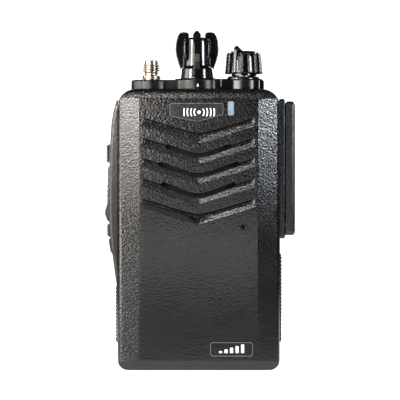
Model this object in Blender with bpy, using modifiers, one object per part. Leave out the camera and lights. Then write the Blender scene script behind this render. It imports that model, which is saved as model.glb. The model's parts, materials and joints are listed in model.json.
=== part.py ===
"""A handheld two-way radio as an assembly. X is to the right, Y to the back, Z up; the base stands on Z = 0.
Sizes here are millimetres; the helpers turn them into Blender's metres."""

from math import atan2, cos, degrees, pi, radians, sin

import bmesh
import bpy
from mathutils import Matrix, Vector

MM = 0.001
GAP = 0.3  # between touching pieces

# Housing
HALF_WIDTH = 30.7
HEIGHT = 107.2
FRONT = -18.0
HOUSING_BACK = 5.0
BACK = 18.0
FACE_HALF = 22.6  # the flat middle of the front, between the two side facets
FACET_EDGE = (30.1, -15.3)  # where a facet meets the side
SIDE_START = -13.0
TOP_ROLL = (3.5, 2.6)  # height and depth of the slanted band along the top edge
BOTTOM_ROLL = (3.4, 2.0)
CORNER_TOP = 7.0
CORNER_BOTTOM = 4.0
WALL = 1.8
FRONT_WALL = 2.4

# Chevron grooves and sound slots on the front
GROOVES = 5
GROOVE_PITCH = 7.72
GROOVE_TOP = 96.9  # the first groove's upper edge at its ends
GROOVE_TALL = 3.55
GROOVE_DROP = 7.05  # how much lower the point is than the ends
GROOVE_DEEP = 1.4
GROOVE_END_RUN = 2.7
GROOVE_HALF = FACE_HALF - 0.1  # a groove stops just inside the facets
SLOTS = ((12.2, 81.9, 85.1), (15.0, 74.3, 78.4), (13.9, 66.5, 70.7))  # half length, middle height, end height
SLOT_TALL = 1.5
SLOT_FLAT = 1.2

# Controls, all on one line along X
CONTROL_Y = -3.0
CHANNEL_X = -0.66
VOLUME_X = 17.2
ANTENNA_X = -18.3
PLATE_BOTTOM = HEIGHT + GAP
PLATE_TOP = 111.0
SHAFT_R = 2.5
SHAFT_FLAT = 1.8  # distance of the shaft's flat from its axis
SHAFT_BORE_R = SHAFT_R + GAP
BUSHING_R = 3.75
BUSHING_HOLE_R = BUSHING_R + GAP
BUSHING_TOP = 109.4
SWITCH_TOP = 102.1
NUT_R = 5.2
SEAL_R = (2.9, 4.0)
KNOB_FINS = 4
VOLUME_RIBS = 14

# Side keys on the left
KEY_BACK = -31.0  # the bezel's flat inner side
KEY_Y = (-13.4, 3.4)
BUTTON_Y = (-9.5, -0.5)
BUTTON_INNER = -31.6
FLANGE_OUTER = -32.1
KEY_WINDOW_Z = (44.2, 86.7)

# Accessory connector on the right
CONNECTOR_X = (31.0, 33.0)
CONNECTOR_Y = (-11.0, 2.0)
CONNECTOR_Z = (50.2, 103.4)
COVER_X = (33.3, 36.2)
COVER_Y = (-11.3, 2.3)
COVER_Z = (51.4, 102.2)
CONTACTS_Z = (61.0, 97.0)
CONTACTS_Y = (-8.0, -1.0)
COVER_SCREW_Z = 56.0

# Chassis and battery
TRAY_HALF = 27.2
TRAY_Z = (3.4, 104.0)
TRAY_FRONT = -5.4
SHELF_FRONT = -10.0
TRAY_WALL = 1.5
TRAY_BACK_IN = 3.0
BATTERY_TOP = 88.5
BATTERY_FRONT = HOUSING_BACK + GAP
HEAD_BOTTOM = BATTERY_TOP + GAP
SCREW_X = 22.2
SCREW_Z = 8.4
SPEAKER_Z = 74.0
MIC = (16.95, 54.6)
RAIL_X = (23.0, 25.5)
RAIL_Z = (20.0, 80.0)
LATCH_TRAVEL = 2.2

# name: colour, roughness, metallic
FINISHES = {
    "black_case": ((0.022, 0.023, 0.025), 0.5, 0.0),
    "black_gloss": ((0.012, 0.012, 0.013), 0.18, 0.0),
    "black_knob": ((0.016, 0.016, 0.017), 0.35, 0.0),
    "black_rubber": ((0.02, 0.02, 0.02), 0.75, 0.0),
    "lens": ((0.62, 0.72, 0.80), 0.2, 0.0),
    "jack_metal": ((0.80, 0.70, 0.50), 0.25, 1.0),
    "ptfe": ((0.86, 0.85, 0.82), 0.5, 0.0),
    "gold": ((0.90, 0.68, 0.30), 0.25, 1.0),
    "cast_metal": ((0.42, 0.43, 0.44), 0.45, 1.0),
    "steel": ((0.60, 0.60, 0.58), 0.3, 1.0),
    "board_green": ((0.03, 0.14, 0.07), 0.5, 0.0),
    "cell_wrap": ((0.10, 0.22, 0.45), 0.5, 0.0),
    "cone_paper": ((0.10, 0.09, 0.08), 0.8, 0.0),
}


def new_collection(name, cutters=False):
    collection = bpy.data.collections.new(name)
    bpy.context.scene.collection.children.link(collection)
    collection.hide_render = cutters
    return collection


def material(name):
    found = bpy.data.materials.get(name)
    if found:
        return found
    color, roughness, metallic = FINISHES[name]
    made = bpy.data.materials.new(name)
    made.use_nodes = True
    shader = made.node_tree.nodes["Principled BSDF"]
    shader.inputs["Base Color"].default_value = (*color, 1.0)
    shader.inputs["Roughness"].default_value = roughness
    shader.inputs["Metallic"].default_value = metallic
    return made


def place(mesh, name, finish, at=(0, 0, 0)):
    """A part if it has a finish, otherwise a cutter."""
    obj = bpy.data.objects.new(name, mesh)
    obj.location = Vector(at) * MM
    if finish:
        mesh.materials.append(material(finish))
        PARTS.objects.link(obj)
    else:
        obj.hide_render = True
        obj.display_type = "WIRE"
        CUTTERS.objects.link(obj)
    return obj


def box(name, x, y, z, finish=None, bevel=0.0, at_axis=None):
    """A box between two limits on each axis; at_axis moves its origin to a joint's axis."""
    center = Vector(((x[0] + x[1]) / 2, (y[0] + y[1]) / 2, (z[0] + z[1]) / 2))
    origin = Vector(at_axis) if at_axis else center
    size = Vector((x[1] - x[0], y[1] - y[0], z[1] - z[0]))
    frame = Matrix.Translation((center - origin) * MM) @ Matrix.Diagonal((*(size * MM), 1.0))
    bm = bmesh.new()
    bmesh.ops.create_cube(bm, size=1.0, matrix=frame)
    mesh = bpy.data.meshes.new(name)
    bm.to_mesh(mesh)
    bm.free()
    obj = place(mesh, name, finish, origin)
    if bevel:
        soften(obj, bevel)
    return obj


def soften(obj, width, segments=2):
    bevel = obj.modifiers.new("soften", "BEVEL")
    bevel.width = width * MM
    bevel.segments = segments
    bevel.limit_method = "ANGLE"
    bevel.angle_limit = radians(40)


def cylinder(name, radius, at, length, finish=None, axis="Z", sides=20):
    """A cylinder that starts at one end and runs along an axis."""
    turn = {"Z": Matrix(), "X": Matrix.Rotation(radians(90), 4, "Y"), "Y": Matrix.Rotation(radians(-90), 4, "X")}
    bm = bmesh.new()
    bmesh.ops.create_cone(
        bm, cap_ends=True, segments=sides, radius1=radius * MM, radius2=radius * MM, depth=length * MM,
        matrix=turn[axis] @ Matrix.Translation((0, 0, length / 2 * MM)),
    )
    mesh = bpy.data.meshes.new(name)
    bm.to_mesh(mesh)
    bm.free()
    if sides > 8:
        mesh.shade_smooth()
        mesh.set_sharp_from_angle(angle=radians(40))
    return place(mesh, name, finish, at)


def turned(name, profile, at, finish=None, axis="Z", steps=28):
    """A turned piece: (radius, height) points down its outer side; a ring repeats its first point at the end."""
    closed = profile[0] == profile[-1]
    points = profile[:-1] if closed else profile
    verts = [(radius * MM, 0.0, height * MM) for radius, height in points]
    edges = [(i, i + 1) for i in range(len(points) - 1)]
    if closed:
        edges.append((len(points) - 1, 0))
    mesh = bpy.data.meshes.new(name)
    mesh.from_pydata(verts, edges, [])
    obj = place(mesh, name, finish, at)
    if axis == "Y":
        obj.rotation_euler = (radians(-90), 0, 0)
    elif axis == "X":
        obj.rotation_euler = (0, radians(90), 0)
    screw = obj.modifiers.new("turn", "SCREW")
    screw.steps = screw.render_steps = steps
    screw.use_merge_vertices = True
    screw.merge_threshold = 0.000001
    screw.use_smooth_shade = True
    edge_split(obj)
    return obj


def edge_split(obj):
    obj.data.shade_smooth()
    obj.data.set_sharp_from_angle(angle=radians(35))


def extruded(name, outline, plane, low, high, finish=None, at_axis=(0, 0, 0)):
    """A flat outline of (u, v) points, drawn in the XZ, YZ or XY plane, as a solid between two depths."""
    curve = bpy.data.curves.new(name, "CURVE")
    curve.dimensions = "2D"
    curve.fill_mode = "BOTH"
    curve.extrude = (high - low) / 2 * MM
    spline = curve.splines.new("POLY")
    spline.points.add(len(outline) - 1)
    for point, (u, v) in zip(spline.points, outline):
        point.co = (u * MM, v * MM, 0.0, 1.0)
    spline.use_cyclic_u = True
    middle = (low + high) / 2 * MM
    # the columns are where the outline's u, its v and its normal go
    rows = {
        "XZ": ((1, 0, 0, 0), (0, 0, -1, middle), (0, 1, 0, 0), (0, 0, 0, 1)),
        "YZ": ((0, 0, 1, middle), (1, 0, 0, 0), (0, 1, 0, 0), (0, 0, 0, 1)),
        "XY": ((1, 0, 0, 0), (0, 1, 0, 0), (0, 0, 1, middle), (0, 0, 0, 1)),
    }
    guide = bpy.data.objects.new(name + "_outline", curve)
    CUTTERS.objects.link(guide)
    bpy.context.view_layer.update()
    evaluated = guide.evaluated_get(bpy.context.evaluated_depsgraph_get())
    mesh = bpy.data.meshes.new_from_object(evaluated)
    bpy.data.objects.remove(guide)
    mesh.transform(Matrix.Translation(-Vector(at_axis) * MM) @ Matrix(rows[plane]))
    bm = bmesh.new()
    bm.from_mesh(mesh)
    bmesh.ops.remove_doubles(bm, verts=bm.verts, dist=0.000001)
    bmesh.ops.dissolve_limit(bm, angle_limit=radians(0.5), verts=bm.verts, edges=bm.edges)
    bmesh.ops.recalc_face_normals(bm, faces=bm.faces)
    bm.to_mesh(mesh)
    bm.free()
    mesh.name = name
    mesh.materials.clear()
    return place(mesh, name, finish, at_axis)


def boolean(target, other, operation):
    if other.name in PARTS.objects:
        PARTS.objects.unlink(other)
        CUTTERS.objects.link(other)
    other.hide_render = True
    other.display_type = "WIRE"
    modifier = target.modifiers.new(operation.lower(), "BOOLEAN")
    modifier.operation = operation
    modifier.solver = "EXACT"
    modifier.object = other
    return target


def cut(target, *cutters):
    for cutter in cutters:
        boolean(target, cutter, "DIFFERENCE")
    return target


def join(target, *others):
    for other in others:
        boolean(target, other, "UNION")
    return target


def keep_common(target, *others):
    for other in others:
        boolean(target, other, "INTERSECT")
    return target


def arc(center, radius, start, end, steps=6):
    """Points on an arc, angles in degrees."""
    for i in range(steps + 1):
        angle = radians(start + (end - start) * i / steps)
        yield center[0] + radius * cos(angle), center[1] + radius * sin(angle)


def rounded_outline(u, v, radii, steps=5):
    """A rectangle with one radius at each corner, in the order low-low, high-low, high-high, low-high."""
    corners = ((u[0], v[0], 180), (u[1], v[0], 270), (u[1], v[1], 0), (u[0], v[1], 90))
    points = []
    for (corner_u, corner_v, start), radius in zip(corners, radii):
        if radius == 0:
            points.append((corner_u, corner_v))
            continue
        center = (
            corner_u + (radius if corner_u == u[0] else -radius),
            corner_v + (radius if corner_v == v[0] else -radius),
        )
        points.extend(arc(center, radius, start, start + 90, steps))
    return points


def mirrored(points):
    """The outline of a symmetric shape from its right half, given from bottom to top."""
    return points + [(-u, v) for u, v in reversed(points)]


# Front housing


def shell_block(name, inset, front, back, z, finish=None):
    """The housing's outer form, or with an inset the hollow inside it."""
    face = FACE_HALF - inset * 0.2
    plan = mirrored([
        (HALF_WIDTH - inset, back),
        (HALF_WIDTH - inset, SIDE_START + inset * 0.5),
        (FACET_EDGE[0] - inset, FACET_EDGE[1] + inset * 0.6),
        (face, front),
    ])
    block = extruded(name, plan, "XY", z[0] - 2, z[1] + 2, finish)
    front_view = rounded_outline(
        (-HALF_WIDTH + inset, HALF_WIDTH - inset), z,
        [CORNER_BOTTOM - inset / 2] * 2 + [CORNER_TOP - inset / 2] * 2,
    )
    side_view = [
        (front, z[0] + BOTTOM_ROLL[0]),
        (front + BOTTOM_ROLL[1], z[0]),
        (back + 1, z[0]),
        (back + 1, z[1]),
        (front + TOP_ROLL[1], z[1]),
        (front, z[1] - TOP_ROLL[0]),
    ]
    return keep_common(
        block,
        extruded(name + "_front_view", front_view, "XZ", front - 2, back + 1),
        extruded(name + "_side_view", side_view, "YZ", -HALF_WIDTH - 2, HALF_WIDTH + 2),
    )


def groove_cutter(index):
    """One chevron groove: a V section carried from the left end to the middle point and to the right end."""
    top = GROOVE_TOP - index * GROOVE_PITCH

    def section(x, drop, deep_x):
        low = top - drop
        deep = (deep_x, FRONT + GROOVE_DEEP, low - GROOVE_TALL * 0.42)
        return [
            (x, FRONT - 1, low), (x, FRONT, low), deep, (x, FRONT, low - GROOVE_TALL), (x, FRONT - 1, low - GROOVE_TALL),
        ]

    run = GROOVE_HALF - GROOVE_END_RUN
    sections = [
        section(-GROOVE_HALF, 0, -run),
        section(0, GROOVE_DROP, 0),
        section(GROOVE_HALF, 0, run),
    ]
    bm = bmesh.new()
    rings = [[bm.verts.new(Vector(point) * MM) for point in points] for points in sections]
    count = len(rings[0])
    for left, right in zip(rings, rings[1:]):
        for i in range(count):
            bm.faces.new((left[i], left[(i + 1) % count], right[(i + 1) % count], right[i]))
    for ring in (rings[0], rings[-1]):
        for i in range(3, 3 + count - 2):
            bm.faces.new((ring[2], ring[i % count], ring[(i + 1) % count]))
    bmesh.ops.recalc_face_normals(bm, faces=bm.faces)
    mesh = bpy.data.meshes.new("groove_%d" % (index + 1))
    bm.to_mesh(mesh)
    bm.free()
    return place(mesh, mesh.name, None)


def slot_cutter(index):
    """A sound slot: a bent bar with round ends and a flat point."""
    half, middle_z, end_z = SLOTS[index]
    reach = half - SLOT_TALL / 2
    tilt = degrees(atan2(end_z - middle_z, reach - SLOT_FLAT))
    right = [(SLOT_FLAT, middle_z - SLOT_TALL / 2)]
    right += list(arc((reach, end_z), SLOT_TALL / 2, tilt - 90, tilt + 90, 6))
    right += [(SLOT_FLAT, middle_z + SLOT_TALL / 2)]
    return extruded("slot_%d" % (index + 1), mirrored(right), "XZ", FRONT - 2, FRONT + FRONT_WALL + 1)


def badge_outline(grow):
    return [
        (-11.1 - grow, 96.7 - grow * 0.6),
        (0.0, 94.6 - grow * 1.1),
        (9.4 + grow, 97.3 - grow * 0.6),
        (9.4 + grow, 101.8 + grow),
        (-11.1 - grow, 101.8 + grow),
    ]


def front_housing():
    body = shell_block("front_housing", 0.0, FRONT, HOUSING_BACK, (0.0, HEIGHT), "black_case")
    cut(body, shell_block("housing_hollow", WALL, FRONT + FRONT_WALL, HOUSING_BACK + 1, (WALL, HEIGHT - WALL)))
    for side in (-1, 1):
        boss = (side * SCREW_X, FRONT + FRONT_WALL - 0.4, SCREW_Z)
        join(body, cylinder("housing_boss", 3.0, boss, 14.9, axis="Y"))
        cut(body, cylinder("boss_hole", 1.5, (side * SCREW_X, -7.5, SCREW_Z), 8.0, axis="Y", sides=16))
    cut(body, *[groove_cutter(i) for i in range(GROOVES)])
    cut(body, *[slot_cutter(i) for i in range(len(SLOTS))])
    return cut(
        body,
        cylinder("mic_recess", 1.5, (MIC[0] + 0.3, FRONT - 1, MIC[1]), 1.6, axis="Y"),
        cylinder("mic_hole", 0.65, (MIC[0], FRONT - 1, MIC[1]), 5.0, axis="Y", sides=12),
        box("lens_window", (10.8, 13.7), (FRONT - 1, FRONT + FRONT_WALL + 1), (96.7, 102.7)),
        extruded("badge_seat", badge_outline(GAP), "XZ", FRONT - 1, FRONT + 0.6),
        extruded(
            "label_seat", rounded_outline((4.0, 21.0), (5.1, 11.2), [1.3] * 4, 3), "XZ", FRONT - 1, FRONT + 0.5
        ),
        cylinder("antenna_hole", 3.4, (ANTENNA_X, CONTROL_Y, HEIGHT - 3), 4.0),
        cylinder("channel_hole", BUSHING_HOLE_R, (CHANNEL_X, CONTROL_Y, HEIGHT - 3), 4.0),
        cylinder("volume_hole", BUSHING_HOLE_R, (VOLUME_X, CONTROL_Y, HEIGHT - 3), 4.0),
        # the flange of the talk button dips into this window
        box("key_window", (-32, -28), (-10.7, 0.7), KEY_WINDOW_Z),
        box(
            "contact_window", (28, 32), (CONTACTS_Y[0] - GAP, CONTACTS_Y[1] + GAP),
            (CONTACTS_Z[0] - GAP, CONTACTS_Z[1] + GAP),
        ),
        box("tongue_notch", (-6.0, 6.0), (3.2, HOUSING_BACK + 1), (-1.0, WALL + 0.1)),
    )


def front_trim():
    extruded("badge_plate", badge_outline(0.0), "XZ", FRONT - 0.5, FRONT + 0.3, "black_gloss")
    extruded(
        "model_label", rounded_outline((4.3, 20.7), (5.4, 10.9), [1.0] * 4, 3), "XZ", FRONT - 0.15, FRONT + 0.2,
        "black_gloss",
    )
    box("indicator_lens", (11.1, 13.4), (FRONT - 0.2, SHELF_FRONT - GAP), (97.0, 102.4), "lens", 0.3)


# Chassis


def rear_chassis():
    tray_outline = rounded_outline((-TRAY_HALF, TRAY_HALF), TRAY_Z, (2.5, 2.5, 4.6, 4.6), 3)
    body = extruded("rear_chassis", tray_outline, "XZ", SHELF_FRONT, HOUSING_BACK, "cast_metal")
    # only the top wall, which holds the controls, reaches further forward than the tray
    cut(body, box("shelf_limit", (-30.0, 30.0), (SHELF_FRONT - 1, TRAY_FRONT), (0.0, TRAY_Z[1] - 1.6)))
    head_outline = rounded_outline((-HALF_WIDTH, HALF_WIDTH), (HEAD_BOTTOM, HEIGHT), (0, 0, CORNER_TOP, CORNER_TOP))
    head = extruded("head_block", head_outline, "XZ", BATTERY_FRONT, BACK)
    keep_common(head, extruded("head_plan", back_plan(BATTERY_FRONT - 1), "XY", HEAD_BOTTOM - 1, HEIGHT + 1))
    join(body, box("head_neck", (-TRAY_HALF + 0.6, TRAY_HALF - 0.6), (4.0, 7.0), (HEAD_BOTTOM + 0.5, 103.6)), head)
    inner = TRAY_HALF - TRAY_WALL
    cut(
        body,
        box("tray_hollow", (-inner, inner), (-12.0, TRAY_BACK_IN), (TRAY_Z[0] + TRAY_WALL, TRAY_Z[1] - 1.6)),
        box("head_hollow", (-24.0, 24.0), (2.0, 16.0), (91.0, 102.2)),
    )
    for x, z in ((-21.0, 20.0), (21.0, 20.0), (-21.0, 88.0), (21.0, 88.0)):
        join(body, cylinder("board_boss", 1.8, (x, 0.2, z), 3.2, axis="Y", sides=12))
    for side in (-1, 1):
        at = (side * SCREW_X, 0, SCREW_Z)
        rail_x = sorted((side * RAIL_X[0], side * RAIL_X[1]))
        join(body, cylinder("chassis_boss", 3.0, (at[0], -0.2, at[2]), 3.6, axis="Y"))
        join(body, box("battery_rail", rail_x, (4.5, 6.1), RAIL_Z))
        cut(body, cylinder("screw_hole", 1.5, (at[0], -2.0, at[2]), 8.0, axis="Y", sides=16))
        cut(body, cylinder("screw_head_seat", 2.8, (at[0], 3.6, at[2]), 2.0, axis="Y"))
    cut(
        body,
        cylinder("antenna_hole_2", 3.4, (ANTENNA_X, CONTROL_Y, TRAY_Z[1] - 3), 4.0),
        cylinder("channel_hole_2", BUSHING_HOLE_R, (CHANNEL_X, CONTROL_Y, TRAY_Z[1] - 3), 4.0),
        cylinder("volume_hole_2", BUSHING_HOLE_R, (VOLUME_X, CONTROL_Y, TRAY_Z[1] - 3), 4.0),
        box("contact_block_window", (-9.3, 9.3), (2.0, 6.0), (76.7, 84.3)),
        box("tongue_strike", (-6.0, 6.0), (3.3, 6.0), (2.0, 4.7)),
    )


def back_plan(front):
    """The rounded back edges that the head block and the battery share, seen from above."""
    return mirrored([(HALF_WIDTH, front), (HALF_WIDTH, 12.5), (29.2, 15.6), (25.2, BACK)])


def chassis_fittings():
    outer = rounded_outline((-28.6, 28.6), (2.1, 105.1), (3.0, 3.0, 6.2, 6.2), 4)
    inner = rounded_outline((-27.5, 27.5), (3.1, 104.3), (2.2, 2.2, 4.4, 4.4), 3)
    seal = extruded("main_seal", outer, "XZ", 1.5, 2.9, "black_rubber")
    cut(seal, extruded("main_seal_hole", inner, "XZ", 0.5, 3.9))
    for side, word in ((-1, "left"), (1, "right")):
        screw = cylinder("chassis_screw_" + word, 2.5, (side * SCREW_X, 3.9, SCREW_Z), 1.0, "steel", axis="Y", sides=20)
        join(screw, cylinder("screw_shank", 1.2, (side * SCREW_X, -6.5, SCREW_Z), 10.8, axis="Y", sides=12))
        cut(screw, cylinder("screw_socket", 1.0, (side * SCREW_X, 4.3, SCREW_Z), 2.0, axis="Y", sides=6))
    box("main_board", (-25.2, 25.2), (-1.3, -0.1), (14.0, 92.0), "board_green")
    box("rf_shield_upper", (-20.0, 20.0), (-4.9, -1.6), (56.0, 86.0), "steel", 0.4)
    box("rf_shield_lower", (-20.0, 20.0), (-4.9, -1.6), (20.0, 53.0), "steel", 0.4)
    box("battery_contact_block", (-9.0, 9.0), (0.3, 5.0), (77.0, 84.0), "black_case", 0.3)


# Controls on the top


def switch_set(prefix, body_name, x):
    """A rotary control under the top wall: body with bushing, shaft, ring nut and shaft seal."""
    at = (x, CONTROL_Y)
    body = box(body_name, (x - 6, x + 6), (CONTROL_Y - 5.5, CONTROL_Y + 5.0), (93.5, SWITCH_TOP), "black_rubber", 0.4)
    join(body, cylinder(body_name + "_bushing", BUSHING_R, (*at, SWITCH_TOP - 1), BUSHING_TOP - SWITCH_TOP + 1))
    cut(body, cylinder(body_name + "_bore", SHAFT_BORE_R, (*at, 97.0), 20.0))
    shaft = cylinder(prefix + "_shaft", SHAFT_R, (*at, 97.4), 22.6, "steel")
    cut(shaft, box(prefix + "_flat", (x - 4, x + 4), (CONTROL_Y + SHAFT_FLAT, CONTROL_Y + 5), (111.1, 125.0)))
    ring(prefix + "_nut", (BUSHING_HOLE_R, NUT_R), (PLATE_BOTTOM, 109.5), at, "steel")
    ring(prefix + "_seal", SEAL_R, (109.8, 110.9), at, "black_rubber")


def ring(name, radii, z, at, finish):
    inner, outer = radii
    low, high = z
    return turned(name, [(outer, high), (outer, low), (inner, low), (inner, high), (outer, high)], (*at, 0), finish, steps=20)


def knob_bore(x, top):
    """The D-shaped socket for the shaft, open downwards."""
    socket = cylinder("knob_bore", SHAFT_BORE_R, (x, CONTROL_Y, 105.0), top - 105.0)
    flat = box("knob_bore_flat", (x - 4, x + 4), (CONTROL_Y + SHAFT_FLAT + GAP, CONTROL_Y + 5), (104.0, top + 1))
    return cut(socket, flat)


def channel_knob():
    at = (CHANNEL_X, CONTROL_Y, 0)
    profile = [
        (0, 127.3), (3.9, 127.3), (5.0, 126.4), (5.3, 124.5), (5.3, 116.6), (6.15, 115.6), (6.5, 113.5), (6.8, 111.5),
        (6.5, 111.4), (0, 111.4),
    ]
    knob = turned("channel_knob", profile, at, "black_knob")
    large = [(3.0, 115.4), (5.9, 115.4), (7.3, 117.8), (8.1, 120.4), (8.35, 122.6), (8.1, 125.6), (7.2, 128.0),
             (6.0, 129.2), (4.6, 129.4), (3.4, 129.0), (2.6, 126.5)]
    small = [(3.0, 118.6), (5.6, 118.8), (6.9, 120.4), (7.2, 122.6), (6.9, 125.2), (5.8, 127.0), (3.0, 127.0)]
    front = large[:6] + [(7.6, 128.4), (6.9, 129.8), (6.0, 130.2), (4.8, 129.5)] + large[9:]
    for i in range(KNOB_FINS * 2):
        outline = small if i % 2 else (front if i == 0 else large)
        half = 0.8 if i % 2 else 1.1
        fin = extruded("channel_fin_%d" % i, outline, "XZ", -half, half)
        fin.location = Vector(at) * MM
        fin.rotation_euler = (0, 0, radians(-90 + 360 / (KNOB_FINS * 2) * i))
        join(knob, fin)
    cut(knob, knob_bore(CHANNEL_X, 121.0))


def volume_knob():
    at = (VOLUME_X, CONTROL_Y, 0)
    profile = [
        (0, 121.8), (4.2, 122.2), (5.6, 121.7), (6.3, 120.4), (6.9, 114.2), (6.6, 113.3), (4.95, 113.3), (4.95, 112.6),
        (0, 112.6),
    ]
    knob = turned("volume_knob", profile, at, "black_knob")
    rib = [(4.0, 114.0), (7.35, 114.0), (6.75, 120.2), (6.1, 121.4), (4.0, 121.4)]
    pointer = [(1.5, 119.0), (6.9, 119.0), (6.75, 121.2), (6.2, 123.4), (5.2, 124.0), (1.5, 122.3)]
    for i in range(VOLUME_RIBS):
        piece = extruded("volume_rib_%d" % i, pointer if i == 0 else rib, "XZ", -0.6, 0.6)
        piece.location = Vector(at) * MM
        piece.rotation_euler = (0, 0, radians(-120 + 360 / VOLUME_RIBS * i))
        join(knob, piece)
    cut(knob, knob_bore(VOLUME_X, 120.5))


def control_plate():
    outline = rounded_outline((-25.9, 25.0), (-11.0, HOUSING_BACK - GAP), (3, 3, 2, 2), 4)
    plate = extruded("control_plate", outline, "XY", PLATE_BOTTOM, PLATE_TOP, "black_gloss")
    tall = PLATE_TOP - PLATE_BOTTOM
    for x, radius in ((ANTENNA_X + 0.2, 7.7), (CHANNEL_X, 9.6)):
        bulge = cylinder("plate_bulge", radius, (x, CONTROL_Y, PLATE_BOTTOM), tall, sides=32)
        keep_common(bulge, box("bulge_limit", (x - 12, x + 12), (-20.0, 0.0), (PLATE_BOTTOM, PLATE_TOP)))
        join(plate, bulge)
    cut(
        plate,
        cylinder("plate_antenna_hole", 3.4, (ANTENNA_X, CONTROL_Y, PLATE_BOTTOM - 1), 6.0),
        cylinder("plate_channel_hole", 4.3, (CHANNEL_X, CONTROL_Y, PLATE_BOTTOM - 1), 6.0),
        cylinder("plate_nut_pocket", NUT_R + 0.4, (CHANNEL_X, CONTROL_Y, PLATE_BOTTOM - 1), 3.3),
        cylinder("plate_collar_hole", 7.4, (VOLUME_X, CONTROL_Y, PLATE_BOTTOM - 1), 6.0, sides=32),
    )
    collar = [(4.3, 112.3), (6.5, 112.3), (6.85, 111.9), (7.05, PLATE_BOTTOM), (5.6, PLATE_BOTTOM), (5.6, 109.8),
              (4.3, 109.8), (4.3, 112.3)]
    turned("volume_collar", collar, (VOLUME_X, CONTROL_Y, 0), "black_gloss")


def antenna_jack():
    at = (ANTENNA_X, CONTROL_Y, 0)
    thread_r, root_r, pitch, start = 3.175, 2.85, 0.706, 117.3
    thread = []
    for i in range(4):
        thread += [(root_r, start - i * pitch), (thread_r, start - (i + 0.35) * pitch),
                   (thread_r, start - (i + 0.65) * pitch)]
    profile = [(2.3, 118.5), (2.6, 118.5), (2.7, 118.3)] + thread + [
        (root_r, start - 4 * pitch), (2.6, 114.2), (2.6, 112.7), (3.55, 112.7), (3.55, 111.3), (3.0, 111.3),
        (3.0, 98.5), (0.0, 98.5),
    ]
    turned("antenna_jack_barrel", [(0.0, 106.0), (2.3, 106.0)] + profile, at, "jack_metal", steps=24)
    turned(
        "antenna_insulator", [(2.0, 116.9), (2.0, 106.3), (0.95, 106.3), (0.95, 116.9), (2.0, 116.9)], at, "ptfe",
        steps=24,
    )
    turned(
        "antenna_contact",
        [(0.0, 112.0), (0.35, 112.0), (0.35, 117.3), (0.6, 117.3), (0.65, 117.1), (0.65, 106.4), (0.0, 106.4)],
        at, "gold", steps=16,
    )
    nut = cylinder("antenna_nut", 5.0, (ANTENNA_X, CONTROL_Y, 99.6), 2.5, "steel", sides=6)
    cut(nut, cylinder("antenna_nut_hole", 3.3, (ANTENNA_X, CONTROL_Y, 98.0), 6.0))


# Side keys


def side_keys():
    outer = [(-31.3, 103.2), (-32.0, 101.0), (-32.6, 98.8), (-33.1, 94.0), (-33.5, 87.4), (-34.0, 77.0),
             (-34.3, 68.4), (-34.3, 61.0), (-34.1, 54.0), (-33.3, 45.6), (-32.9, 43.7), (-31.6, 34.2), (-31.3, 32.6)]
    bezel = extruded("side_key_frame", outer + [(KEY_BACK, 32.5), (KEY_BACK, 103.3)], "XZ", *KEY_Y, "black_case")
    soften(bezel, 0.8)
    cut(
        bezel,
        box("key_opening", (-40, -29), (BUTTON_Y[0] - GAP, BUTTON_Y[1] + GAP), KEY_WINDOW_Z),
        box("key_counterbore", (FLANGE_OUTER - GAP, -29), (-10.6, 0.6), KEY_WINDOW_Z),
    )
    shapes = {
        "ptt_button": [(77.7, -34.5), (77.0, -35.0), (72.0, -35.1), (66.0, -35.2), (60.0, -35.6), (57.4, -35.3),
                       (56.7, -34.7)],
        "top_side_button": [(86.3, -34.2), (85.6, -34.9), (82.6, -35.2), (79.7, -35.1), (79.0, -34.5)],
        "side_button_1": [(55.9, -34.4), (55.2, -34.8), (51.4, -34.8), (50.8, -34.3)],
        "side_button_2": [(50.2, -34.2), (49.5, -34.6), (45.2, -34.3), (44.6, -33.9)],
    }
    domes = {"ptt_button": "ptt_dome", "top_side_button": "top_key_dome", "side_button_1": "side_key_dome_1",
             "side_button_2": "side_key_dome_2"}
    for name, shape in shapes.items():
        high, low = shape[0][0], shape[-1][0]
        outline = [(BUTTON_INNER, high)] + [(x, z) for z, x in shape] + [(BUTTON_INNER, low)]
        button = extruded(name, outline, "XZ", *BUTTON_Y, "black_rubber")
        soften(button, 0.35, 1)
        join(button, box(name + "_flange", (FLANGE_OUTER, BUTTON_INNER), (-10.3, 0.3), (low, high)))
        middle = (high + low) / 2
        cylinder(domes[name], 1.9, (-28.7, -5.0, middle), 0.4, "steel", axis="X", sides=20)
    box("key_membrane", (-30.1, -29.1), (-9.7, -0.3), (44.5, 86.4), "black_rubber")
    box("key_board", (-28.0, -27.5), (-9.7, -0.3), (44.5, 86.4), "board_green")


# Accessory connector


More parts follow.
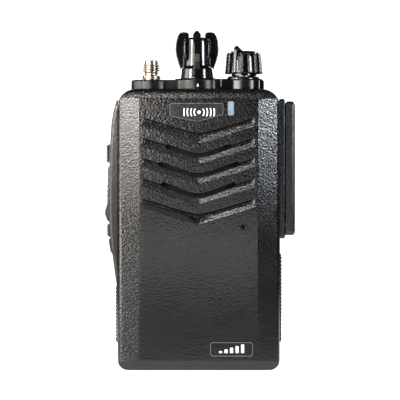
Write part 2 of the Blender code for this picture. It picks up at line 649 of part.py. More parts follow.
def accessory_connector():
    inner = box("accessory_connector_frame", CONNECTOR_X, CONNECTOR_Y, CONNECTOR_Z, "black_case")
    soften(inner, 0.5)
    cut(
        inner,
        box("contact_opening", (30, 35), (CONTACTS_Y[0] - GAP, CONTACTS_Y[1] + GAP),
            (CONTACTS_Z[0] - GAP, CONTACTS_Z[1] + GAP)),
        cylinder("cover_screw_hole", 1.5, (30.0, -4.5, COVER_SCREW_Z), 5.0, axis="X", sides=16),
    )
    box("accessory_contact_block", (28.2, 32.4), CONTACTS_Y, CONTACTS_Z, "black_rubber", 0.3)
    cover = box("accessory_dust_cover", COVER_X, COVER_Y, COVER_Z, "black_case", at_axis=(COVER_X[0], -4.5, COVER_Z[1]))
    soften(cover, 0.9, 3)
    cut(
        cover,
        box("cover_hollow", (30, 34.9), (COVER_Y[0] + 1.5, COVER_Y[1] - 1.5), (60.0, COVER_Z[1] - 1.6)),
        cylinder("cover_hole", 1.5, (30.0, -4.5, COVER_SCREW_Z), 8.0, axis="X", sides=16),
        cylinder("cover_screw_seat", 2.8, (34.7, -4.5, COVER_SCREW_Z), 3.0, axis="X"),
    )
    screw = cylinder("accessory_cover_screw", 2.4, (35.0, -4.5, COVER_SCREW_Z), 1.0, "steel", axis="X")
    join(screw, cylinder("cover_screw_shank", 1.2, (31.4, -4.5, COVER_SCREW_Z), 4.0, axis="X", sides=16))
    cut(screw, box("cover_screw_slot", (35.6, 37.0), (-4.9, -4.1), (COVER_SCREW_Z - 1.8, COVER_SCREW_Z + 1.8)))


# Sound


def sound():
    at = (0, 0, SPEAKER_Z)
    cylinder("speaker_mesh", 18.5, (0, -15.3, SPEAKER_Z), 0.3, "black_rubber", axis="Y", sides=32)
    # a piece turned about Y has its heights run towards the back
    turned(
        "speaker_frame",
        [(9.0, -9.0), (11.0, -9.0), (16.8, -13.4), (18.0, -13.4), (18.0, -14.7), (16.6, -14.7), (16.4, -13.9),
         (10.4, -9.8), (9.0, -9.8), (9.0, -9.0)],
        at, "steel", axis="Y",
    )
    turned(
        "speaker_cone",
        [(0, -12.4), (3.2, -12.0), (5.0, -10.9), (15.4, -13.7), (16.0, -14.5), (15.2, -14.5), (14.8, -14.1),
         (5.2, -11.5), (3.4, -12.5), (0, -12.9)],
        at, "cone_paper", axis="Y",
    )
    cylinder("speaker_magnet", 8.5, (0, -10.2, SPEAKER_Z), 3.6, "steel", axis="Y", sides=32)
    boot = cylinder("mic_boot", 3.2, (MIC[0], -15.3, MIC[1]), 3.4, "black_rubber", axis="Y")
    cut(boot, cylinder("mic_pocket", 2.3, (MIC[0], -14.7, MIC[1]), 4.0, axis="Y"))
    cut(boot, cylinder("mic_port", 0.8, (MIC[0], -16.0, MIC[1]), 3.0, axis="Y", sides=12))
    cylinder("mic_capsule", 2.0, (MIC[0], -14.4, MIC[1]), 2.4, "steel", axis="Y")


# Battery


def battery():
    outline = rounded_outline((-HALF_WIDTH, HALF_WIDTH), (0.0, BATTERY_TOP), (CORNER_BOTTOM, CORNER_BOTTOM, 0, 0))
    case = extruded("battery_case", outline, "XZ", BATTERY_FRONT, BACK, "black_case")
    keep_common(case, extruded("case_plan", back_plan(BATTERY_FRONT - 1), "XY", -1.0, BATTERY_TOP + 1))
    join(
        case,
        box("grip_left", (-31.4, -29.5), (7.0, 12.0), (9.7, 32.3)),
        box("grip_right", (29.5, 31.4), (7.0, 12.0), (9.9, 44.1)),
    )
    cut(
        case,
        box("case_hollow", (-28.9, 28.9), (4.0, 14.9), (WALL, BATTERY_TOP - WALL)),
        box("case_hollow_deep", (-24.4, 24.4), (4.0, 16.4), (WALL, BATTERY_TOP - WALL)),
        box("tab_opening", (-7.4, 7.4), (9.1, 15.1), (-1.0, 3.0)),
        box("clip_slot_left", (-11.5, -9.0), (17.1, 19.0), (62.0, 82.0)),
        box("clip_slot_right", (9.0, 11.5), (17.1, 19.0), (62.0, 82.0)),
    )
    lid = box("battery_inner_cover", (-28.6, 28.6), (BATTERY_FRONT, 7.3), (2.1, 86.4), "black_case")
    for side, word in ((-1, "left"), (1, "right")):
        groove_x = sorted((side * (RAIL_X[0] - GAP), side * (RAIL_X[1] + GAP)))
        cut(lid, box("rail_groove", groove_x, (5.0, 6.4), (RAIL_Z[0] - GAP, 90.0)))
        cut(case, box("rail_groove_top", groove_x, (5.0, 6.4), (84.0, 90.0)))
        cell_x = sorted((side * 0.6, side * 24.0))
        box("battery_cell_" + word, cell_x, (7.7, 16.0), (16.0, 74.0), "cell_wrap", 1.2)
    cut(lid, box("tongue_opening", (-5.4, 5.4), (4.0, 9.0), (1.0, 4.7)))
    box("battery_board", (-18.0, 18.0), (9.0, 10.2), (77.0, 85.0), "board_green")
    for i in range(3):
        x = (i - 1) * 6.0
        cut(case, cylinder("charge_pocket_%d" % (i + 1), 2.1, (x, 17.0, 12.0), 2.0, axis="Y", sides=20))
        cylinder("charge_contact_%d" % (i + 1), 1.7, (x, 17.3, 12.0), 0.5, "gold", axis="Y", sides=20)


def battery_latch():
    latch = box("battery_latch", (-9.0, 9.0), (7.7, 13.6), (2.3, 4.3), "black_case")
    join(
        latch,
        box("latch_tongue", (-5.0, 5.0), (3.6, 8.5), (2.6, 4.3)),
        box("latch_tab", (-7.0, 7.0), (9.5, 12.5), (0.3, 3.3)),
        box("latch_lug", (-3.0, 3.0), (7.7, 9.2), (3.3, 7.6)),
    )
    coil = bpy.data.curves.new("latch_spring", "CURVE")
    coil.dimensions = "3D"
    coil.bevel_depth = 0.2 * MM
    coil.bevel_resolution = 1
    coil.use_fill_caps = True
    turns, per_turn, radius = 5, 8, 1.2
    start, end = 9.75, 15.9
    spline = coil.splines.new("POLY")
    count = turns * per_turn
    spline.points.add(count)
    for i, point in enumerate(spline.points):
        angle = 2 * pi * i / per_turn
        y = start + (end - start) * i / count
        point.co = (radius * cos(angle) * MM, y * MM, (5.9 + radius * sin(angle)) * MM, 1.0)
    coil.materials.append(material("steel"))
    PARTS.objects.link(bpy.data.objects.new("latch_spring", coil))


def main():
    housing = front_housing()
    # many cuts on the front are in line with each other, which only this solver closes
    for modifier in housing.modifiers:
        if modifier.type == "BOOLEAN":
            modifier.solver = "MANIFOLD"
    front_trim()
    rear_chassis()
    chassis_fittings()
    switch_set("channel", "channel_switch_body", CHANNEL_X)
    switch_set("volume", "volume_pot_body", VOLUME_X)
    channel_knob()
    volume_knob()
    control_plate()
    antenna_jack()
    side_keys()
    accessory_connector()
    sound()
    battery()
    battery_latch()


for old in list(bpy.data.objects):
    bpy.data.objects.remove(old)
PARTS = new_collection("portable_radio")
CUTTERS = new_collection("cutters", cutters=True)
main()
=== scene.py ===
import json
from math import atan2, ceil, cos, degrees, pi, radians, sin, sqrt

import bmesh
import bpy
from mathutils import Matrix, Vector


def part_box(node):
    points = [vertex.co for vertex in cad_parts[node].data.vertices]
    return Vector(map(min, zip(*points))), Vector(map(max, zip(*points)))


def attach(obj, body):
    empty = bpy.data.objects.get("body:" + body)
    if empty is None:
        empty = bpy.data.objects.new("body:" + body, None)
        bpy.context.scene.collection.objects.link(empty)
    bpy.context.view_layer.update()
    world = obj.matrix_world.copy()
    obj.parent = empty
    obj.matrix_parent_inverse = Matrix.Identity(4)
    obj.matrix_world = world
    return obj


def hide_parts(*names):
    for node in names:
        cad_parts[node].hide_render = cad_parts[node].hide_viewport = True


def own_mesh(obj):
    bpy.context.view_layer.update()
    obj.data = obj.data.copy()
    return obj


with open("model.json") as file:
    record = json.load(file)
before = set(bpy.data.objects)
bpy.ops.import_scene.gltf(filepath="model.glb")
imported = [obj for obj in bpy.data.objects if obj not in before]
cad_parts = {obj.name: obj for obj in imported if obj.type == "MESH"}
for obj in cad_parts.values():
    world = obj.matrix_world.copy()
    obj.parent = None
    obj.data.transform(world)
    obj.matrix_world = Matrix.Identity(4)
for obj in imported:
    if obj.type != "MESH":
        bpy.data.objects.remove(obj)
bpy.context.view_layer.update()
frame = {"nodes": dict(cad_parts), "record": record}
print("frame loaded:", len(frame["nodes"]), "nodes")

mm = 0.001
body = "radio"  # the body that stays still
scene = bpy.context.scene


# ---- small helpers for meshes; lengths are millimetres, turned into metres when a mesh is made

def lowHigh(node):
    low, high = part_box(node)
    return [value / mm for value in low], [value / mm for value in high]


def addMesh(name, mesh):
    obj = bpy.data.objects.new(name, mesh)
    scene.collection.objects.link(obj)
    return obj


def meshFromBm(name, bm):
    mesh = bpy.data.meshes.new(name)
    bmesh.ops.recalc_face_normals(bm, faces=bm.faces)
    bm.to_mesh(mesh)
    bm.free()
    return addMesh(name, mesh)


planes = {  # where an outline's u, v and its depth go
    "XZ": lambda u, v, d: (u, d, v),
    "YZ": lambda u, v, d: (d, u, v),
    "XY": lambda u, v, d: (u, v, d),
}


def prism(name, outline, plane, low, high, lowScale=None):
    # an outline carried between two depths; lowScale shrinks the far end towards a point (u, v, share)
    to = planes[plane]
    bm = bmesh.new()
    ends = []
    for depth in (low, high):
        ring = []
        for u, v in outline:
            if depth == low and lowScale:
                u = lowScale[0] + (u - lowScale[0]) * lowScale[2]
                v = lowScale[1] + (v - lowScale[1]) * lowScale[2]
            ring.append(bm.verts.new(Vector(to(u, v, depth)) * mm))
        ends.append(ring)
    bm.faces.new(ends[0])
    bm.faces.new(ends[1])
    count = len(outline)
    for i in range(count):
        bm.faces.new((ends[0][i], ends[0][(i + 1) % count], ends[1][(i + 1) % count], ends[1][i]))
    return meshFromBm(name, bm)


def block(name, x, y, z):
    return prism(name, [(x[0], z[0]), (x[1], z[0]), (x[1], z[1]), (x[0], z[1])], "XZ", y[0], y[1])


def loft(name, rings, capMiddle=None):
    # rings of the same number of points, joined along their length; ends are closed by a fan or by one face
    bm = bmesh.new()
    made = [[bm.verts.new(Vector(point) * mm) for point in ring] for ring in rings]
    count = len(made[0])
    for left, right in zip(made, made[1:]):
        for i in range(count):
            bm.faces.new((left[i], left[(i + 1) % count], right[(i + 1) % count], right[i]))
    for ring in (made[0], made[-1]):
        if capMiddle is None:
            bm.faces.new(ring)
        else:
            for i in range(capMiddle + 1, capMiddle + count - 1):
                bm.faces.new((ring[capMiddle], ring[i % count], ring[(i + 1) % count]))
    return meshFromBm(name, bm)


def lathe(name, profile, at, steps=64, axis="Z"):
    # (radius, height) points down the outer side; a ring repeats its first point
    closed = profile[0] == profile[-1]
    points = profile[:-1] if closed else profile
    bm = bmesh.new()
    rows = []
    for radius, height in points:
        row = []
        for step in range(steps if radius > 1e-6 else 1):
            angle = 2 * pi * step / steps
            across, up = radius * cos(angle), radius * sin(angle)
            local = {"Z": (across, up, height), "Y": (across, height, up), "X": (height, across, up)}[axis]
            row.append(bm.verts.new((Vector(at) + Vector(local)) * mm))
        rows.append(row)
    pairs = list(zip(rows, rows[1:])) + ([(rows[-1], rows[0])] if closed else [])
    for upper, lower in pairs:
        for i in range(steps):
            j = (i + 1) % steps
            corners = [upper[i % len(upper)], upper[j % len(upper)], lower[j % len(lower)],
                       lower[i % len(lower)]]
            unique = list(dict.fromkeys(corners))
            if len(unique) > 2:
                bm.faces.new(unique)
    return meshFromBm(name, bm)


def rod(name, radius, at, length, axis="Z", steps=32):
    return lathe(name, [(0, length), (radius, length), (radius, 0), (0, 0)], at, steps, axis)


def arc(center, radius, start, end, steps=8):
    return [
        (center[0] + radius * cos(radians(start + (end - start) * i / steps)),
         center[1] + radius * sin(radians(start + (end - start) * i / steps)))
        for i in range(steps + 1)
    ]


def roundedBox(u, v, radii, steps=8):
    # corners in the order low-low, high-low, high-high, low-high
    radii = [radii] * 4 if isinstance(radii, (int, float)) else radii
    corners = ((u[0], v[0], 180), (u[1], v[0], 270), (u[1], v[1], 0), (u[0], v[1], 90))
    points = []
    for (cu, cv, start), radius in zip(corners, radii):
        if radius < 0.01:
            points.append((cu, cv))
            continue
        middle = (cu + (radius if cu == u[0] else -radius), cv + (radius if cv == v[0] else -radius))
        points += arc(middle, radius, start, start + 90, steps)
    return points


def roundOff(outline, radii, steps=5):
    # rounds the corners of an outline; radii holds one radius for each point
    points = []
    count = len(outline)
    for i, radius in enumerate(radii):
        here = Vector(outline[i])
        if radius <= 0:
            points.append(tuple(here))
            continue
        before = (Vector(outline[i - 1]) - here)
        after = (Vector(outline[(i + 1) % count]) - here)
        angle = before.angle(after)
        reach = min(radius / max(1e-6, sin(angle / 2) / cos(angle / 2)), before.length * 0.48,
                    after.length * 0.48)
        a = here + before.normalized() * reach
        b = here + after.normalized() * reach
        for step in range(steps + 1):
            t = step / steps
            points.append(tuple(a * (1 - t) ** 2 + here * 2 * t * (1 - t) + b * t ** 2))
    return points


def inset(outline, distance):
    # the outline moved inwards by a distance
    area = sum(a[0] * b[1] - b[0] * a[1] for a, b in zip(outline, outline[1:] + outline[:1]))
    turn = 1 if area > 0 else -1
    count = len(outline)
    moved = []
    for i in range(count):
        here = Vector(outline[i])
        before = (here - Vector(outline[i - 1])).normalized()
        after = (Vector(outline[(i + 1) % count]) - here).normalized()
        normals = Vector((-before.y, before.x)) + Vector((-after.y, after.x))
        length = max(0.35, normals.length / 2)
        moved.append(tuple(here + normals.normalized() * (turn * distance / length)))
    return moved


def cushion(name, outline, plane, low, high, radius, ends="both", steps=4):
    # a prism whose end faces have rounded edges
    to = planes[plane]
    layers = []
    if ends in ("both", "low"):
        layers += [(radius * (1 - sin(pi / 2 * i / steps)), low + radius * (1 - cos(pi / 2 * i / steps)))
                   for i in range(steps + 1)]
    else:
        layers.append((0, low))
    if ends in ("both", "high"):
        layers += [(radius * (1 - cos(pi / 2 * i / steps)), high - radius * (1 - sin(pi / 2 * i / steps)))
                   for i in range(steps + 1)]
    else:
        layers.append((0, high))
    rings = [[to(u, v, depth) for u, v in inset(outline, amount)] for amount, depth in layers]
    return loft(name, rings)


def merged(name, pieces):
    # one object from several meshes
    bm = bmesh.new()
    for piece in pieces:
        bm.from_mesh(piece.data)
        bpy.data.objects.remove(piece)
    mesh = bpy.data.meshes.new(name)
    bm.to_mesh(mesh)
    bm.free()
    return addMesh(name, mesh)


def around(obj, at, angle):
    # a mesh made about the origin, turned about the upright axis and moved to a place
    move = Matrix.Translation(Vector(at) * mm)
    obj.data.transform(move @ Matrix.Rotation(radians(angle), 4, "Z"))
    return obj


def mirrored(points):
    # the whole outline of a symmetric shape, from its right half given upwards
    return points + [(-u, v) for u, v in reversed(points)]


def boolean(target, others, operation):
    for other in others:
        modifier = target.modifiers.new("boolean", "BOOLEAN")
        modifier.operation = operation
        modifier.solver = "MANIFOLD"
        modifier.object = other
    bake(target)
    for other in others:
        bpy.data.objects.remove(other)
    return target


def cut(target, *others):
    return boolean(target, others, "DIFFERENCE")


def join(target, *others):
    return boolean(target, others, "UNION")


def common(target, *others):
    return boolean(target, others, "INTERSECT")


def bake(obj):
    # applies the modifiers
    bpy.context.view_layer.update()
    evaluated = obj.evaluated_get(bpy.context.evaluated_depsgraph_get())
    mesh = bpy.data.meshes.new_from_object(evaluated)
    obj.modifiers.clear()
    old = obj.data
    obj.data = mesh
    bpy.data.meshes.remove(old)
    return obj


def tidyMesh(obj, flat=0.0003):
    # drops the edges that lie inside a flat face; flat is how far a point may be off the face
    bm = bmesh.new()
    bm.from_mesh(obj.data)
    bmesh.ops.remove_doubles(bm, verts=bm.verts, dist=0.000002)

    def inside(edge):
        if len(edge.link_faces) != 2:
            return False
        small, large = sorted(edge.link_faces, key=lambda face: face.calc_area())
        if small.normal.dot(large.normal) < 0 and small.calc_area() > 1e-9:
            return False
        base = large.verts[0].co
        return all(abs((vert.co - base).dot(large.normal)) < flat * mm for vert in small.verts)

    bmesh.ops.dissolve_edges(bm, edges=[edge for edge in bm.edges if inside(edge)], use_verts=False)
    bm.to_mesh(obj.data)
    bm.free()
    return obj


def smooth(obj, angle=32, weighted=True):
    obj.data.shade_smooth()
    obj.data.set_sharp_from_angle(angle=radians(angle))
    if weighted:
        modifier = obj.modifiers.new("normals", "WEIGHTED_NORMAL")
        modifier.keep_sharp = True
        modifier.weight = 90
    return obj


def fit(obj, onBody, slot, material, *nodes):
    # gives a finished piece its finish and its body, and hides the CAD nodes that it stands for
    obj.data.materials.clear()
    obj.data.materials.append(material)
    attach(obj, onBody)
    if nodes:
        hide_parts(*nodes)
    return obj


# ---- materials

class Value:
    # a socket that can be used in an expression; every operator adds a Math node
    def __init__(self, graph, socket):
        self.graph = graph
        self.socket = socket

    def op(self, operation, first, second):
        return self.graph.add("ShaderNodeMath", {"operation": operation}, {0: first, 1: second})

    def __add__(self, other): return self.op("ADD", self, other)
    def __radd__(self, other): return self.op("ADD", other, self)
    def __sub__(self, other): return self.op("SUBTRACT", self, other)
    def __rsub__(self, other): return self.op("SUBTRACT", other, self)
    def __mul__(self, other): return self.op("MULTIPLY", self, other)
    def __rmul__(self, other): return self.op("MULTIPLY", other, self)


class Graph:
    # a material's node tree
    def __init__(self, name):
        self.material = bpy.data.materials.new(name)
        self.material.use_nodes = True
        self.tree = self.material.node_tree
        self.shader = self.tree.nodes["Principled BSDF"]

    def add(self, kind, settings=None, inputs=None, output=0):
        node = self.tree.nodes.new(kind)
        for key, setting in (settings or {}).items():
            if key == "stops":
                ramp = node.color_ramp
                for i, (position, color) in enumerate(setting):
                    element = ramp.elements[i] if i < 2 else ramp.elements.new(position)
                    element.position = position
                    element.color = color if len(color) == 4 else (*color, 1)
            else:
                setattr(node, key, setting)
        for key, given in (inputs or {}).items():
            self.link(node.inputs[key], given)
        return Value(self, node.outputs[output])

    def link(self, socket, given):
        if isinstance(given, Value):
            self.tree.links.new(given.socket, socket)
        else:
            socket.default_value = given

    def set(self, **inputs):
        names = {"color": "Base Color", "roughness": "Roughness", "metallic": "Metallic", "normal": "Normal",
                 "emission": "Emission Color", "emissionStrength": "Emission Strength",
                 "specular": "Specular IOR Level", "subsurface": "Subsurface Weight"}
        for key, given in inputs.items():
            self.link(self.shader.inputs[names[key]], given)
        return self.material

    def place(self):
        return self.add("ShaderNodeTexCoord", output=3)

    def noise(self, scale, detail=3, roughness=0.5, at=None, stretch=None):
        at = at or self.place()
        if stretch:
            at = self.add("ShaderNodeMapping", inputs={"Vector": at, "Scale": stretch})
        return self.add("ShaderNodeTexNoise", inputs={
            "Vector": at, "Scale": scale, "Detail": detail, "Roughness": roughness})

    def cells(self, scale, smoothness=0.3, at=None):
        return self.add("ShaderNodeTexVoronoi", {"feature": "SMOOTH_F1"}, {
            "Vector": at or self.place(), "Scale": scale, "Smoothness": smoothness})

    def bump(self, height, distance, strength=1.0):
        return self.add("ShaderNodeBump", inputs={
            "Height": height, "Distance": distance * mm, "Strength": strength})

    def blend(self, factor, first, second):
        def color(given):
            return given if isinstance(given, Value) else (*given, 1)
        node = self.tree.nodes.new("ShaderNodeMix")
        node.data_type = "RGBA"
        self.link(node.inputs[0], factor)
        self.link(node.inputs[6], color(first))
        self.link(node.inputs[7], color(second))
        return Value(self, node.outputs[2])

    def between(self, value, low, high, fromLow=0.0, fromHigh=1.0):
        return self.add("ShaderNodeMapRange", inputs={
            "Value": value, "From Min": fromLow, "From Max": fromHigh, "To Min": low, "To Max": high})

    def edges(self, low, high):
        # 1 on outward edges, where handling polishes the plastic and where a highlight is painted
        point = self.add("ShaderNodeNewGeometry", output=7)
        return self.between(point, 0.0, 1.0, low, high)


def mouldedPlastic(name, dark, pale, roughness, grain=1.0, cellScale=1350):
    # moulded black plastic: a spark-eroded grain with small shiny faces, slight blotches of gloss, polished edges
    # with a painted highlight
    g = Graph(name)
    at = g.place()
    pits = g.noise(cellScale, 1.0, 0.5, at)
    fine = g.noise(cellScale * 2.4, 1, 0.5, at)
    blotch = g.noise(80, 4, 0.55, at)
    # hands have polished the grain from below the sound slots down
    up = g.add("ShaderNodeSeparateXYZ", inputs={0: at}, output=2)
    rubbed = g.between(up, 0.0, 1.0, 0.05, 0.072)
    height = (pits + fine * 0.3) * g.between(rubbed, 0.45, 1.0)
    speck = g.between(pits, 0.0, 1.0, 0.55, 0.72)
    # dull and shiny grains beside each other
    other = g.noise(cellScale * 0.95, 1, 0.5, at)
    dull = g.between(other, 0.0, 1.0, 0.48, 0.6) * g.between(rubbed, 0.3, 1.0)
    worn = g.edges(0.515, 0.56)
    color = g.blend(speck * 0.6 + blotch * 0.2, dark, pale)
    # painted edge highlight: the colour is lightened along outward edges, which worn also makes less rough
    color = g.blend(worn * 0.25, color, tuple(min(1, c * 2.2) for c in pale))
    base = g.between(blotch, roughness - 0.04, roughness + 0.05, 0.3, 0.7)
    rough = base + dull * 0.12 - speck * 0.08 - worn * 0.05
    return g.set(color=color, roughness=rough, normal=g.bump(height, 0.175 * grain))


def glossPlastic(name, dark, pale, roughness=0.2, specular=0.5):
    # polished black plastic with faint waviness, dust and hairline scratches
    g = Graph(name)
    at = g.place()
    wave = g.noise(260, 2, 0.5, at)
    dust = g.between(g.noise(2600, 2, 0.6, at), 0.0, 1.0, 0.68, 0.76)
    hair = g.between(g.noise(900, 2, 0.6, at, (1.0, 1.0, 14.0)), 0.0, 1.0, 0.66, 0.72)
    smear = g.noise(70, 4, 0.6, at)
    rough = g.between(smear, roughness * 0.75, roughness * 1.5, 0.35, 0.65) + dust * 0.15 + hair * 0.08
    color = g.blend(dust * 0.35, dark, pale)
    return g.set(color=color, roughness=rough, normal=g.bump(wave * 0.8 + hair * 0.1, 0.03, 0.5),
                 specular=specular)


def rubber(name, dark, pale):
    g = Graph(name)
    at = g.place()
    fine = g.noise(4200, 3, 0.6, at)
    lint = g.between(g.noise(1300, 3, 0.6, at), 0.0, 1.0, 0.64, 0.74)
    color = g.blend(lint * 0.4 + fine * 0.2, dark, pale)
    return g.set(color=color, roughness=g.between(fine, 0.55, 0.72), normal=g.bump(fine, 0.04, 0.7))


def metal(name, tint, darker, roughness, brushed=(1.0, 1.0, 1.0), tarnish=0.35):
    # machined or cast metal: fine tool marks and a little tarnish in blotches
    g = Graph(name)
    at = g.place()
    marks = g.noise(1500, 4, 0.65, at, brushed)
    stain = g.between(g.noise(320, 4, 0.6, at), 0.0, 1.0, 0.45, 0.75)
    color = g.blend(stain * tarnish + marks * 0.2, tint, darker)
    return g.set(color=color, metallic=1.0, roughness=g.between(marks, roughness * 0.7, roughness * 1.5),
                 normal=g.bump(marks, 0.012, 0.6))


def printedBoard():
    g = Graph("boardMask")
    at = g.place()
    traces = g.add("ShaderNodeTexBrick", inputs={
        "Vector": g.add("ShaderNodeMapping", inputs={"Vector": at,
                                                     "Rotation": (pi / 2, 0, 0)}), "Scale": 260.0,
        "Mortar Size": 0.06}, output=1)
    color = g.blend(traces * 0.55, (0.012, 0.10, 0.045), (0.05, 0.22, 0.10))
    return g.set(color=color, roughness=g.between(g.noise(400, 2), 0.3, 0.45),
                 normal=g.bump(traces, 0.02, 0.6))


def cellWrap():
    g = Graph("cellWrap")
    folds = g.noise(120, 3, 0.5, stretch=(1.0, 1.0, 0.3))
    color = g.blend(g.between(folds, 0, 1, 0.35, 0.65), (0.05, 0.13, 0.33), (0.09, 0.2, 0.45))
    return g.set(color=color, roughness=g.between(folds, 0.25, 0.4), normal=g.bump(folds, 0.25, 0.5))


def conePaper():
    g = Graph("conePaper")
    fibre = g.noise(2400, 5, 0.7)
    color = g.blend(fibre, (0.05, 0.045, 0.04), (0.14, 0.125, 0.11))
    return g.set(color=color, roughness=g.between(fibre, 0.75, 0.95), normal=g.bump(fibre, 0.08, 0.8))


def lensPlastic():
    # frosted light guide: faintly clouded, a little grain inside
    g = Graph("lensPlastic")
    cloud = g.noise(700, 3, 0.5)
    color = g.blend(g.between(cloud, 0, 1, 0.35, 0.65), (0.13, 0.165, 0.20), (0.19, 0.23, 0.27))
    return g.set(color=color, roughness=g.between(cloud, 0.22, 0.34), normal=g.bump(cloud, 0.03, 0.4),
                 subsurface=0.15)


def paleInk(name, tint):
    g = Graph(name)
    worn = g.noise(2200, 3, 0.6)
    color = g.blend(g.between(worn, 0, 1, 0.4, 0.75), tint, tuple(c * 0.82 for c in tint))
    return g.set(color=color, roughness=g.between(worn, 0.35, 0.5), normal=g.bump(worn, 0.01, 0.5))


def meshCloth():
    # black felted mesh behind the sound slots
    g = Graph("meshCloth")
    at = g.place()
    holes = g.cells(2600, 0.1, at)
    color = g.blend(g.between(holes, 0, 1, 0.2, 0.6), (0.002, 0.002, 0.002), (0.012, 0.012, 0.012))
    return g.set(color=color, roughness=g.between(holes, 0.85, 1.0), normal=g.bump(holes, 0.1, 1.0),
                 specular=0.1)


plastic = mouldedPlastic("casePlastic", (0.0014, 0.0014, 0.0015), (0.007, 0.007, 0.0072), 0.18)
sidePlastic = mouldedPlastic("sidePlastic", (0.0016, 0.0016, 0.0018), (0.008, 0.008, 0.0086), 0.34, 0.6, 1300)
knobPlastic = glossPlastic("knobPlastic", (0.0015, 0.0015, 0.0017), (0.03, 0.03, 0.032), 0.15)
gloss = glossPlastic("glossPlastic", (0.0015, 0.0015, 0.0017), (0.03, 0.03, 0.033), 0.18)
plateGloss = glossPlastic("plateGloss", (0.0015, 0.0015, 0.0017), (0.03, 0.03, 0.033), 0.3, 0.22)
keyRubber = rubber("keyRubber", (0.005, 0.005, 0.005), (0.02, 0.02, 0.02))
steel = metal("brightSteel", (0.62, 0.62, 0.60), (0.35, 0.34, 0.32), 0.28, (1.0, 1.0, 8.0))
castMetal = metal("castMetal", (0.085, 0.085, 0.09), (0.05, 0.05, 0.053), 0.45)
jackMetal = metal("jackMetal", (0.22, 0.20, 0.158), (0.12, 0.10, 0.07), 0.28, (1.0, 1.0, 6.0), 0.25)
goldPlate = metal("goldPlate", (0.92, 0.70, 0.32), (0.55, 0.38, 0.14), 0.22)
insulator = paleInk("insulator", (0.84, 0.83, 0.80))
ink = paleInk("paleInk", (0.80, 0.81, 0.82))
lens = lensPlastic()
board = printedBoard()
wrap = cellWrap()
paper = conePaper()
cloth = meshCloth()
print("materials made")


# ---- housing

jackX, channelX, volumeX = -18.3, -0.66, 17.2  # the three controls stand in one row
controlY = lowHigh("channel_shaft")[0][1] + 2.5

housing = {
    "half": 31.0, "height": 107.2, "front": -18.0, "back": 5.0, "wall": 1.8, "frontWall": 2.4,
    "faceHalf": 22.6, "facetEdge": (30.4, -15.3), "sideStart": -13.0,
    "topCorner": 7.0, "bottomCorner": 4.0, "topRoll": (4.1, 3.4), "rollCrease": 40, "bottomRoll": (3.4, 1.9),
}

grille = {
    "count": 5, "pitch": 7.72, "top": 96.9, "drop": 7.05, "deep": 1.4, "half": 22.45,
    "endRun": 2.8, "slots": ((12.6, 81.9, 85.2), (15.4, 74.3, 78.5), (14.3, 66.5, 70.8)), "slotTall": 1.9,
}


def housingBlock(name, inset, front, back, z):
    h = housing
    plan = mirrored([
        (h["half"] - inset, back), (h["half"] - inset, h["sideStart"] + inset * 0.5),
        (h["facetEdge"][0] - inset, h["facetEdge"][1] + inset * 0.6), (h["faceHalf"] - inset * 0.2, front),
    ])
    facetEdge, faceEdge = plan[2], plan[3]
    soft = 0 if inset else 1
    plan = roundOff(plan, [0, 2.5 * soft, 2.2 * soft, 1.3 * soft] + [1.3 * soft, 2.2 * soft, 2.5 * soft, 0],
                    6)
    shape = prism(name, plan, "XY", z[0] - 2, z[1] + 2)
    corners = [h["bottomCorner"] - inset / 2] * 2 + [h["topCorner"] - inset / 2] * 2
    frontView = roundedBox((-h["half"] + inset, h["half"] - inset), z, corners, 12)
    tall, deep = h["topRoll"]
    low, lowDeep = h["bottomRoll"]
    crease = radians(h["rollCrease"])
    roll = []
    for i in range(11):  # the top rolls back in a soft curve, which meets the front in a faint crease
        angle = pi / 2 + (crease - pi / 2) * i / 10
        roll.append((deep * (1 - cos(angle) / cos(crease)),
                     z[1] - tall * (1 - sin(angle)) / (1 - sin(crease))))
    profile = [(0, z[0] + low), (lowDeep, z[0]), (150, z[0]), (150, z[1])] + roll
    profile = roundOff(profile, [2.5 * soft, 1.0 * soft] + [0] * 13, 6)
    bend = degrees(atan2(facetEdge[1] - faceEdge[1], facetEdge[0] - faceEdge[0]))
    sides = []
    for side, turn in ((0, 0), (1, bend), (-1, -bend)):  # over the front, then over each slanted facet
        sides.append(around(prism(name + "Side", profile, "YZ", -100, 100), (side * faceEdge[0], front, 0),
                            turn))
    return common(shape, prism(name + "Front", frontView, "XZ", front - 2, back + 1), *sides)


def chevron(x, low, rise, soft):
    # height of a chevron line at x: straight arms, rounded within about `soft` of the middle
    slope = rise / grille["half"]
    return low + slope * (sqrt(x * x + soft * soft) - (0.35 * soft if soft else 0))


def grooveCutter(index):
    g = grille
    front = housing["front"]
    top = g["top"] - index * g["pitch"] - g["drop"]
    # down the section: offset below the upper edge, depth, roundness at the middle
    section = [
        (0.42, -1.0, 3.2), (0.42, 0.0, 3.2), (0.10, 0.07, 3.2), (-0.12, 0.30, 3.1), (-0.32, 0.85, 3.0),
        (-0.7, g["deep"], 2.6), (-1.05, g["deep"], 2.0), (-3.4, 0.10,
                                                          0.5), (-3.72, 0.0, 0.4), (-3.72, -1.0, 0.4),
    ]
    run = g["half"] - g["endRun"]
    stations = [-g["half"], -run, -14, -9, -6, -4, -2.8, -1.8, -1.0, -0.4]
    stations = stations + [0] + [-x for x in reversed(stations)]
    rings = []
    for number, x in enumerate(stations):
        ring = []
        atEnd = number in (0, len(stations) - 1)
        for offset, depth, soft in section:
            where = x
            if atEnd and depth > 0.2:  # the floor stops short of the end, which leaves a sloping end wall
                where = x * run / g["half"]
            ring.append((where, front + depth, chevron(where, top + offset, g["drop"], soft)))
        rings.append(ring)
    return loft("groove%d" % index, rings, 5)


